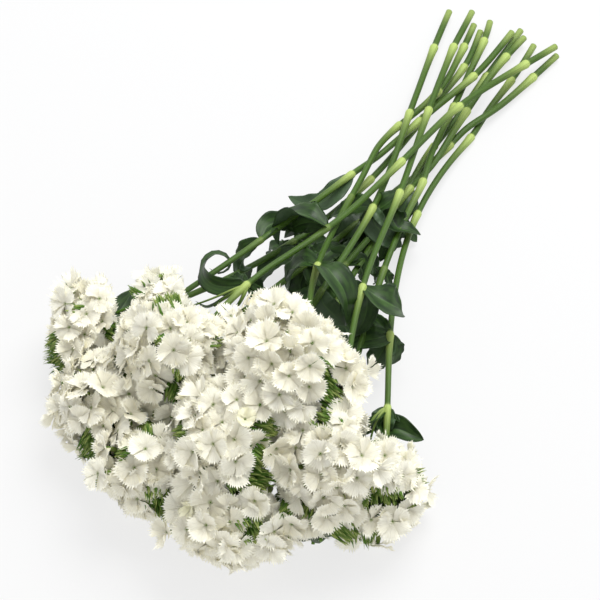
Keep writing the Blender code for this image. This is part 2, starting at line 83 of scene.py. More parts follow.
# The stems, each named by its number. Every point between the cut end and the head is a joint. A heading
# is the head's turn from -Y towards +X, and a tilt its rise, in degrees.
STEMS = [
    {
        "head": (-119, -106, 37),
        "radius": 37,
        "heading": -20,
        "tilt": 38,
        "route": [(-29, 336, 4), (-24, 292, 5), (-22, 225, 9), (-22, 140, 17), (-38, 50, 26), (-66, -20, 31)]
    },
    {
        "head": (-79, -70, 61),
        "radius": 31,
        "heading": -15,
        "tilt": 36,
        "route": [(-4, 345, 8), (-7, 281, 13), (-19, 208, 24), (-30, 125, 38), (-49, 21, 56)],
    },
    {
        "head": (-36, -106, 86),
        "radius": 42,
        "heading": -8,
        "tilt": 40,
        "route": [(35, 348, 13), (25, 314, 18), (5, 233, 34), (0, 149, 48), (-9, 53, 62), (-30, -27, 74)],
    },
    {
        "head": (-68, -154, 41),
        "radius": 41,
        "heading": -14,
        "tilt": 38,
        "route": [(38, 347, 4), (33, 315, 5), (11, 212, 8), (-6, 118, 14), (-20, 40, 22), (-40, -50, 31)],
    },
    {
        "head": (48, -80, 108),
        "radius": 53,
        "heading": 12,
        "tilt": 50,
        "route": [(-38, 338, 4), (-31, 312, 6), (-22, 250, 13), (-30, 197, 24), (-16, 98, 46), (2, 20, 66)],
    },
    {
        "head": (103, -113, 84),
        "radius": 42,
        "heading": 18,
        "tilt": 40,
        "route": [(-46, 346, 9), (-37, 300, 14), (-16, 220, 28), (14, 123, 46), (40, 24, 62), (72, -50, 72)],
    },
    {
        "head": (34, -147, 88),
        "radius": 43,
        "heading": 4,
        "tilt": 42,
        "route": [(-64, 338, 6), (-52, 290, 12), (-27, 207, 26), (3, 103, 44), (15, 8, 58)],
    },
    {
        "head": (-15, -174, 41),
        "radius": 42,
        "heading": -6,
        "tilt": 36,
        "route": [(6, 346, 8), (3, 317, 10), (7, 244, 14), (11, 150, 20), (8, 55, 27), (0, -45, 33)],
    },
    {
        "head": (56, -172, 43),
        "radius": 45,
        "heading": 6,
        "tilt": 34,
        "route": [(-2, 355, 4), (-1, 293, 5), (2, 204, 9), (9, 120, 17), (20, 22, 27), (38, -72, 34)],
    },
    {
        "head": (134, -97, 37),
        "radius": 37,
        "heading": 26,
        "tilt": 40,
        "route": [(16, 346, 4), (20, 302, 5), (18, 231, 6), (25, 134, 14), (71, 15, 34), (104, -42, 38)],
    },
    {
        "head": (103, -143, 39),
        "radius": 39,
        "heading": 16,
        "tilt": 36,
        "route": [(-29, 347, 5), (-22, 325, 8), (-5, 245, 12), (14, 157, 21), (35, 66, 29), (66, -30, 33)],
    },
]

# The photograph's camera: its direction in degrees, its distance, its focal length in pixels of the
# 600 pixel wide photograph, and the point that it looks at, before the bunch is centred
PHOTO_SIZE = 600
CAMERA_AZIMUTH = 33.0
CAMERA_ELEVATION = 58.0
CAMERA_DISTANCE = 1320.0
CAMERA_FOCUS = 1736.0
CAMERA_TARGET = np.array([0.0, 0.0, 40.0])
SENSOR_WIDTH = 36.0


def unit(vector):
    """The vector at length one, or each row of an array of them."""
    vector = np.asarray(vector, float)
    return vector / np.linalg.norm(vector, axis=-1, keepdims=True)


def square_to(axis):
    """Two unit vectors square to each axis and to each other: the first is level where the axis allows
    it."""
    axis = np.asarray(axis, float)
    helper = np.where(np.abs(axis[..., 2:]) < 0.9, [0.0, 0.0, 1.0], [0.0, 1.0, 0.0])
    side = unit(np.cross(helper, axis))
    return side, np.cross(axis, side)


def head_axis(stem):
    """The way the head grows: its heading in plan and its tilt above the surface."""
    heading = radians(stem["heading"])
    tilt = radians(stem["tilt"])
    return np.array([sin(heading) * cos(tilt), -cos(heading) * cos(tilt), sin(tilt)])


HEAD_CENTRES = np.array([stem["head"] for stem in STEMS], float)
HEAD_RADII = np.array([stem["radius"] for stem in STEMS], float)
HEAD_AXES = np.array([head_axis(stem) for stem in STEMS])


def hermite(points, count=None):
    """A Hermite curve through the points, read at evenly spaced places, with the index of each given point.
    Without a count, the places are a STEP apart."""
    points = np.asarray(points, float)
    knots = np.r_[0, np.cumsum(np.linalg.norm(np.diff(points, axis=0), axis=1))]
    slopes = np.gradient(points, knots, axis=0)
    count = count or int(knots[-1] / STEP) + 1
    along = np.linspace(0, knots[-1], count)
    span = np.clip(np.searchsorted(knots, along, side="right") - 1, 0, len(points) - 2)
    width = np.diff(knots)[span, None]
    u = (along - knots[span])[:, None] / width
    path = (
        (2 * u**3 - 3 * u**2 + 1) * points[span]
        + (u**3 - 2 * u**2 + u) * width * slopes[span]
        + (3 * u**2 - 2 * u**3) * points[span + 1]
        + (u**3 - u**2) * width * slopes[span + 1]
    )
    marks = np.round(knots / knots[-1] * (count - 1)).astype(int)
    return path, marks


def path_radius(path, marks):
    """Radius along a stem: an even taper, times a swelling that starts at each joint and dies away."""
    share = np.linspace(0, 1, len(path))
    radius = FOOT_RADIUS + (NECK_RADIUS - FOOT_RADIUS) * share
    along = np.arange(len(path)) * STEP
    swell = np.zeros(len(path))
    for mark in marks[1:-1]:
        past = along - along[mark]
        swell = np.maximum(swell, np.where(past >= -STEP, np.exp(-np.abs(past) / JOINT_LENGTH), 0))
    return radius * (1 + (JOINT_SWELL - 1) * swell)


def settle(paths, radii, cores):
    """Nudges stems off each other, off other stems' head cores and off the floor, a little each round."""
    owner = np.concatenate([np.full(len(p), k) for k, p in enumerate(paths)])
    radius = np.concatenate(radii)
    ease = np.concatenate([np.clip((len(p) - 1 - np.arange(len(p))) / HELD_STEPS, 0, 1) for p in paths])
    starts = np.r_[0, np.cumsum([len(p) for p in paths])]
    points = np.concatenate(paths)
    need = radius[:, None] + radius[None, :] + STEM_GAP
    need[owner[:, None] == owner[None, :]] = 0
    rows = np.arange(len(points))
    for _ in range(SETTLE_ROUNDS):
        square = (points**2).sum(1)
        distance = np.sqrt(np.maximum(square[:, None] + square[None] - 2 * points @ points.T, 0)) + TINY
        short = np.clip(need - distance, 0, None)
        worst = short.argmax(axis=1)
        apart = points - points[worst]
        push = apart / distance[rows, worst, None] * short[rows, worst, None] * SETTLE_SHARE
        for k, (centre, reach) in enumerate(cores):
            away = points - centre
            far = np.linalg.norm(away, axis=1)
            deep = np.clip(reach + radius + STEM_GAP - far, 0, None) * (owner != k)
            push += away / far[:, None] * deep[:, None] * SETTLE_SHARE
        push[:, 2] += np.clip(radius + FLOOR_GAP - points[:, 2] - push[:, 2], 0, None)
        push *= ease[:, None]
        for first, last in zip(starts[:-1], starts[1:]):
            piece = push[first:last]
            padded = np.pad(piece, ((2, 2), (0, 0)), mode="edge")
            spread = sum(w * padded[i : i + len(piece)] for i, w in enumerate(SETTLE_SPREAD))
            points[first:last] += spread * SETTLE_SHARE * ease[first:last, None]
            line = points[first:last]
            bend = line[:-2] + line[2:] - 2 * line[1:-1]
            line[1:-1] += SETTLE_STIFFNESS * ease[first + 1 : last - 1, None] * bend
        points[:, 2] = np.maximum(points[:, 2], radius + FLOOR_GAP)
    return [points[a:b] for a, b in zip(starts[:-1], starts[1:])]


def lay_stems():
    """Every stem's settled path, with its joints' indices."""
    paths, marks, radii, cores = [], [], [], []
    for stem in STEMS:
        centre = np.array(stem["head"], float)
        neck = centre - head_axis(stem) * stem["radius"] * NECK_DROP
        path, mark = hermite([*stem["route"], neck])
        paths.append(path)
        marks.append(mark)
        radii.append(path_radius(path, mark))
        cores.append((centre, stem["radius"] * (CORE_RADIUS + CORE_CLEARANCE)))
    return settle(paths, radii, cores), marks


STEM_PATHS, STEM_MARKS = lay_stems()


def camera_sides(azimuth, elevation):
    """The way from the bunch back to the camera, and the level way to its right, for its angles in
    degrees."""
    turn, rise = radians(azimuth), radians(elevation)
    back = np.array([sin(turn) * cos(rise), -cos(turn) * cos(rise), sin(rise)])
    return back, np.array([cos(turn), sin(turn), 0.0])


# The camera's own directions and place, and one pixel's size at the bunch
CAMERA_BACK, CAMERA_RIGHT = camera_sides(CAMERA_AZIMUTH, CAMERA_ELEVATION)
CAMERA_UP = np.cross(CAMERA_RIGHT, -CAMERA_BACK)
CAMERA_EYE = CAMERA_TARGET + CAMERA_BACK * CAMERA_DISTANCE
PIXEL = CAMERA_DISTANCE / CAMERA_FOCUS


def photo_point(across, down, height):
    """The point at a height that the photograph shows at a pixel."""
    aside = CAMERA_RIGHT * (across - PHOTO_SIZE / 2) - CAMERA_UP * (down - PHOTO_SIZE / 2)
    ray = aside / CAMERA_FOCUS - CAMERA_BACK
    return CAMERA_EYE + ray * (height - CAMERA_EYE[2]) / ray[2]


def photo_pixel(points):
    """The pixel at which the photograph shows each point."""
    seen = points - CAMERA_EYE
    scale = CAMERA_FOCUS / -(seen @ CAMERA_BACK)
    across, up = seen @ CAMERA_RIGHT * scale, seen @ CAMERA_UP * scale
    return np.stack([PHOTO_SIZE / 2 + across, PHOTO_SIZE / 2 - up], -1)


def moved(points, shift):
    """Points moved by a shift in pixels, across and down the photograph."""
    return points + (shift[..., :1] * CAMERA_RIGHT - shift[..., 1:] * CAMERA_UP) * PIXEL


# Shapes are dictionaries of arrays: points, blocks of faces, each of one number of corners, and for every
# point a place on the UV map, a tone and a tint


def merged(shapes):
    """Many shapes as one: their points after each other, and each one's faces moved on to its own
    points."""
    starts = np.cumsum([0] + [len(s["points"]) for s in shapes[:-1]])
    faces = []
    for start, shape in zip(starts, shapes):
        faces += [block + start for block in shape["faces"]]
    whole = {"points": np.concatenate([s["points"] for s in shapes]), "faces": faces}
    for key in shapes[0]:
        if key not in whole:
            whole[key] = np.concatenate([s[key] for s in shapes])
    return whole


def new_piece(name, shape, finish, replaced, sharp=None):
    """A mesh object from a shape in millimetres, finished, riding on the bunch and standing for its
    node."""
    if not len(shape["points"]):
        raise RuntimeError(f"{name} has no points")
    mesh = bpy.data.meshes.new(name)
    points = (shape["points"] + CENTRING) * MM
    faces = [face for block in shape["faces"] for face in block.tolist()]
    mesh.from_pydata(points, [], faces)
    corner = np.empty(len(mesh.loops), np.int32)
    mesh.loops.foreach_get("vertex_index", corner)
    layer = mesh.uv_layers.new(name="surface")
    layer.data.foreach_set("uv", shape["uv"][corner].astype(np.float32).ravel())
    for key in ("tone", "tint"):
        tones = mesh.attributes.new(key, "FLOAT", "POINT")
        tones.data.foreach_set("value", shape[key].astype(np.float32))
    mesh.polygons.foreach_set("use_smooth", np.ones(len(mesh.polygons), bool))
    if sharp is not None:
        ends = np.empty(len(mesh.edges) * 2, np.int32)
        mesh.edges.foreach_get("vertices", ends)
        ends = ends.reshape(-1, 2)
        marks = mesh.attributes.new("sharp_edge", "BOOLEAN", "EDGE")
        marks.data.foreach_set("value", sharp[ends[:, 0]] & sharp[ends[:, 1]])
    mesh.materials.append(finish)
    mesh.update()
    piece = bpy.data.objects.new(name, mesh)
    bpy.context.scene.collection.objects.link(piece)
    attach(piece, "root")
    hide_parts(replaced)
    return piece


def grid_faces(rows, columns, wrapped=False):
    """Four-cornered faces of a grid, counted row by row, and closed on itself across if it is wrapped."""
    row, column = np.meshgrid(np.arange(rows - 1), np.arange(columns - (not wrapped)), indexing="ij")
    after = (column + 1) % columns
    first, second = row * columns, (row + 1) * columns
    corners = [first + column, first + after, second + after, second + column]
    return np.stack(corners, -1).reshape(-1, 4)


def round_axis(axis, lean, turn):
    """Unit vectors at an angle from an axis, turned about it: cos(lean) times the axis, plus sin(lean)
    times the sum of cos(turn) times one side and sin(turn) times the other."""
    side, other = square_to(axis)
    level = np.cos(turn)[..., None] * side + np.sin(turn)[..., None] * other
    return np.cos(lean)[..., None] * axis + np.sin(lean)[..., None] * level


def sunflower(count, reach, start):
    """The leans and turns of a sunflower spiral: each point has as much of the cap out to reach as any
    other, and each turn is the golden angle on from the last."""
    i = np.arange(count) + 0.5
    lean = np.arccos(1 - (1 - cos(reach)) * i / count)
    return lean, i * pi * (3 - 5**0.5) + start


def bowed(root, bow, tip, count):
    """Bows from roots to tips, each drawn towards a middle point and read at count places: for s from 0
    to 1, (1 - s) squared times the root, plus 2 s (1 - s) times the middle point, plus s squared times
    the tip."""
    s = np.linspace(0, 1, count)[None, :, None]
    return (1 - s) ** 2 * root[:, None] + 2 * s * (1 - s) * bow[:, None] + s**2 * tip[:, None]


def repeated(block, copies, size):
    """One block of faces for each of many copies of a shape of that many points."""
    blocks = block[None] + (np.arange(copies) * size)[:, None, None]
    return blocks.reshape(-1, block.shape[1])


def tubes(paths, radii, sides, tone, flat=1.0):
    """Closed tubes along many paths of as many points: a ring round each point, square to the path, and a
    middle point on each end. Flat presses the rings level.

    paths is (tubes, rings, 3), and radii and tone are (tubes, rings)."""
    count, rings = radii.shape
    along = unit(np.gradient(paths, axis=1))
    side, up = square_to(along)
    turn = np.arange(sides) * 2 * pi / sides
    around = np.cos(turn)[:, None] * side[:, :, None] + np.sin(turn)[:, None] * up[:, :, None] * flat
    skin = paths[:, :, None] + around * radii[:, :, None, None]
    size = rings * sides + 2
    points = np.concatenate([skin.reshape(count, -1, 3), paths[:, :1], paths[:, -1:]], axis=1)
    quads = grid_faces(rings, sides, wrapped=True)
    ring = np.arange(sides)
    after = (ring + 1) % sides
    last = (rings - 1) * sides
    start_cap = np.stack([np.full(sides, rings * sides), after, ring], -1)
    end_cap = np.stack([np.full(sides, rings * sides + 1), last + ring, last + after], -1)
    share = np.linspace(0, 1, rings)
    v = np.repeat(share, sides)
    u = np.tile(np.abs(turn / pi - 1), rings)
    uv = np.column_stack([np.r_[u, 0.5, 0.5], np.r_[v, 0, 1]])
    tones = np.concatenate([np.repeat(tone, sides, axis=1), tone[:, :1], tone[:, -1:]], axis=1)
    return {
        "points": points.reshape(-1, 3),
        "faces": [repeated(quads, count, size), repeated(np.vstack([start_cap, end_cap]), count, size)],
        "uv": np.tile(uv, (count, 1)),
        "tone": tones.ravel(),
        "tint": np.zeros(count * size),
    }


def smooth_step(low, high, value):
    """Zero below low, one above high, and an S-curve between."""
    x = np.clip((value - low) / (high - low), 0, 1)
    return x * x * (3 - 2 * x)


# Stalks

# Joints that are hardly swollen or pale, as those near the leaves are, each as stem and joint, and how
# much of the swelling and of the pale green they have
DULL_JOINTS = {(0, 4), (0, 5), (1, 4), (2, 4), (3, 4), (4, 4), (6, 4), (7, 4), (8, 4), (10, 4)}
DULL_SHARE = 0.3
LEAST_SWELL = 0.4

# The shoulder of a joint: how far before it the swelling starts, where it is full, and where the pale
# green is
SHOULDER_START = -2.6
SHOULDER_FULL = 0.8
SHOULDER_PALE = -0.6

# The pale cut end: its length and strength. And how a path is smoothed: rounds, and the share of each
CUT_LENGTH = 30
CUT_PALE = 0.55
SMOOTH_ROUNDS = 6
SMOOTH_SHARE = 0.25

# Side shoots: stem, joint, the points that they go through (pixel across, pixel down, height), and radius
SIDE_SHOOTS = [
    (2, 5, [(236, 291, 74), (226, 297, 68), (214, 306, 62)], 1.5),
    (2, 5, [(238, 293, 73), (231, 300, 68), (226, 307, 64)], 2.0),
    (2, 5, [(244, 294, 72), (240, 302, 68), (236, 308, 64)], 1.9),
    (2, 5, [(234, 289, 74), (216, 297, 70), (186, 308, 60)], 1.0),
    (9, 5, [(377, 414, 38), (369, 426, 35), (364, 436, 32)], 1.4),
    (9, 5, [(378, 418, 38), (373, 430, 34), (370, 442, 30)], 1.1),
]


# A side shoot's rings and sides, how much it thins towards its end, and how pale its root is
SHOOT_RINGS = 10
SHOOT_SIDES = 8
SHOOT_TAPER = 0.35
SHOOT_PALE = 0.75


def side_shoot(row):
    """A side shoot of the table: a thin tube from its joint through its points, palest at its root."""
    number, joint, points, radius = row
    root = STEM_PATHS[number][STEM_MARKS[number][joint]]
    line, _ = hermite([root] + [photo_point(*point) for point in points], SHOOT_RINGS)
    share = np.linspace(0, 1, len(line))
    radii = radius * (1 - SHOOT_TAPER * share)
    return tubes(line[None], radii[None], SHOOT_SIDES, (SHOOT_PALE * (1 - share))[None])


def stalk(number):
    """One stalk: a tube along its path. Each length between joints starts thick at its joint and thins
    towards the next by exp(-distance / swell length); the shoulder of a joint rises in a few
    millimetres."""
    sizes = bpy.context.scene.bunch_stalks
    path, marks = STEM_PATHS[number], STEM_MARKS[number]
    along = np.arange(len(path)) * STEP
    fine = np.arange(0, along[-1], sizes.ring_step)
    fine = np.r_[fine, along[-1]]
    line = np.column_stack([np.interp(fine, along, path[:, i]) for i in range(3)])
    for _ in range(SMOOTH_ROUNDS):
        line[1:-1] += SMOOTH_SHARE * (line[:-2] + line[2:] - 2 * line[1:-1])
    share = fine / fine[-1]
    radius = sizes.foot_radius + (sizes.neck_radius - sizes.foot_radius) * share
    swell = np.zeros(len(fine))
    pale = smooth_step(CUT_LENGTH, 0, fine) * CUT_PALE
    for joint, mark in enumerate(marks[1:-1], 1):
        past = fine - along[mark]
        beyond = np.maximum(past, 0)
        strength = DULL_SHARE if (number, joint) in DULL_JOINTS else 1.0
        shoulder = smooth_step(SHOULDER_START, SHOULDER_FULL, past)
        body = np.where(past > 0, np.exp(-beyond / sizes.swell_length), 1.0)
        swell = np.maximum(swell, shoulder * body * (LEAST_SWELL + (1 - LEAST_SWELL) * strength))
        fade = np.where(past > 0, np.exp(-beyond / sizes.pale_length), 1.0)
        pale = np.maximum(pale, smooth_step(SHOULDER_START, SHOULDER_PALE, past) * fade * strength)
    radius = radius * (1 + (sizes.joint_swell - 1) * swell)
    line[:, 2] = np.maximum(line[:, 2], radius + FLOOR_GAP)
    shoots = [side_shoot(row) for row in SIDE_SHOOTS if row[0] == number]
    return merged([tubes(line[None], radius[None], sizes.sides, pale[None]), *shoots])


# Leaves


# A leaf's form: how pointed its oval is, the width of its foot as a share of the leaf's, the strength of
# the short waves beside the long ones, and the midrib's width as a share of the half-width. Then the
# least height of its upper side, and how much higher its under side stays where both are pressed on the
# surface.
LEAF_POINT = 0.8
LEAF_STALK = 0.13
SHORT_WAVE = 0.45
RIB_WIDTH = 0.10
LEAF_LOWEST = 0.4
LEAF_LAYER = 0.2


def blade(midrib, face, width, fullness=0.78, fold=20.0, wave=1.5, tint=0.0):
    """One leaf as a closed sheet on a grid. The midrib is a curve through the given points. Each row
    crosses it: half-width times a pointed oval of the length, folded up from the midrib by fold degrees,
    and waved at the edge. The under side is the same grid moved back by the thickness, which dies away at
    the edge, and by the midrib's depth.

    face is the ways that the upper side looks, from the root to the tip."""
    sizes = bpy.context.scene.bunch_leaves
    rows, columns = sizes.rows, sizes.columns
    spine, _ = hermite(midrib, rows)
    tangent = unit(np.gradient(spine, axis=0))
    t = np.linspace(0, 1, rows)[:, None]
    faces = [np.asarray(f, float) for f in face]
    steps = np.linspace(0, 1, len(faces))
    looks = np.column_stack([np.interp(t[:, 0], steps, [f[i] for f in faces]) for i in range(3)])
    across = unit(np.cross(looks, tangent))
    up = np.cross(tangent, across)
    s = np.linspace(-1, 1, columns)[None, :]
    oval = np.clip(np.sin(pi * t**fullness) ** LEAF_POINT, 0, 1)
    half = width / 2 * (oval + LEAF_STALK * (1 - t) ** 6)
    bend = radians(fold) * np.abs(s) ** 0.35
    long_wave = np.sin(2 * pi * (t * 2.2 + 0.3 * np.sign(s)))
    short_wave = np.sin(2 * pi * (t * 5.3 + 0.21 * np.sign(s)))
    ripple = wave * (long_wave + SHORT_WAVE * short_wave) * s**2 * oval
    reach = half * s
    x = reach * np.cos(bend)
    z = np.abs(reach) * np.sin(bend) + ripple
    top = spine[:, None] + across[:, None] * x[..., None] + up[:, None] * z[..., None]
    thick = sizes.thickness * (1 - np.abs(s) ** 3) * np.minimum(1, 6 * (1 - t)) * np.ones_like(x)
    rib = sizes.rib * np.exp(-((s / RIB_WIDTH) ** 2)) * (1 - t) * np.ones_like(x)
    low = top - up[:, None] * (thick + rib)[..., None]
    inner = np.zeros((rows, columns), bool)
    inner[1:-1, 1:-1] = True
    low_index = np.arange(rows * columns).reshape(rows, columns)
    low_index[inner] = rows * columns + np.arange(inner.sum())
    quads = grid_faces(rows, columns)[:, ::-1]
    under = low_index.ravel()[quads][:, ::-1]
    every = np.vstack([top.reshape(-1, 3), low[inner]])
    uv_grid = np.stack([np.broadcast_to((s + 1) / 2, x.shape), np.broadcast_to(t, x.shape)], -1)
    tone = np.r_[np.zeros(rows * columns), np.ones(inner.sum())]
    every[:, 2] = np.maximum(every[:, 2], LEAF_LOWEST + LEAF_LAYER * tone)
    return {
        "points": every,
        "faces": [quads, under],
        "uv": np.vstack([uv_grid.reshape(-1, 2), uv_grid[inner]]),
        "tone": tone,
        "tint": np.full(len(every), tint),
    }


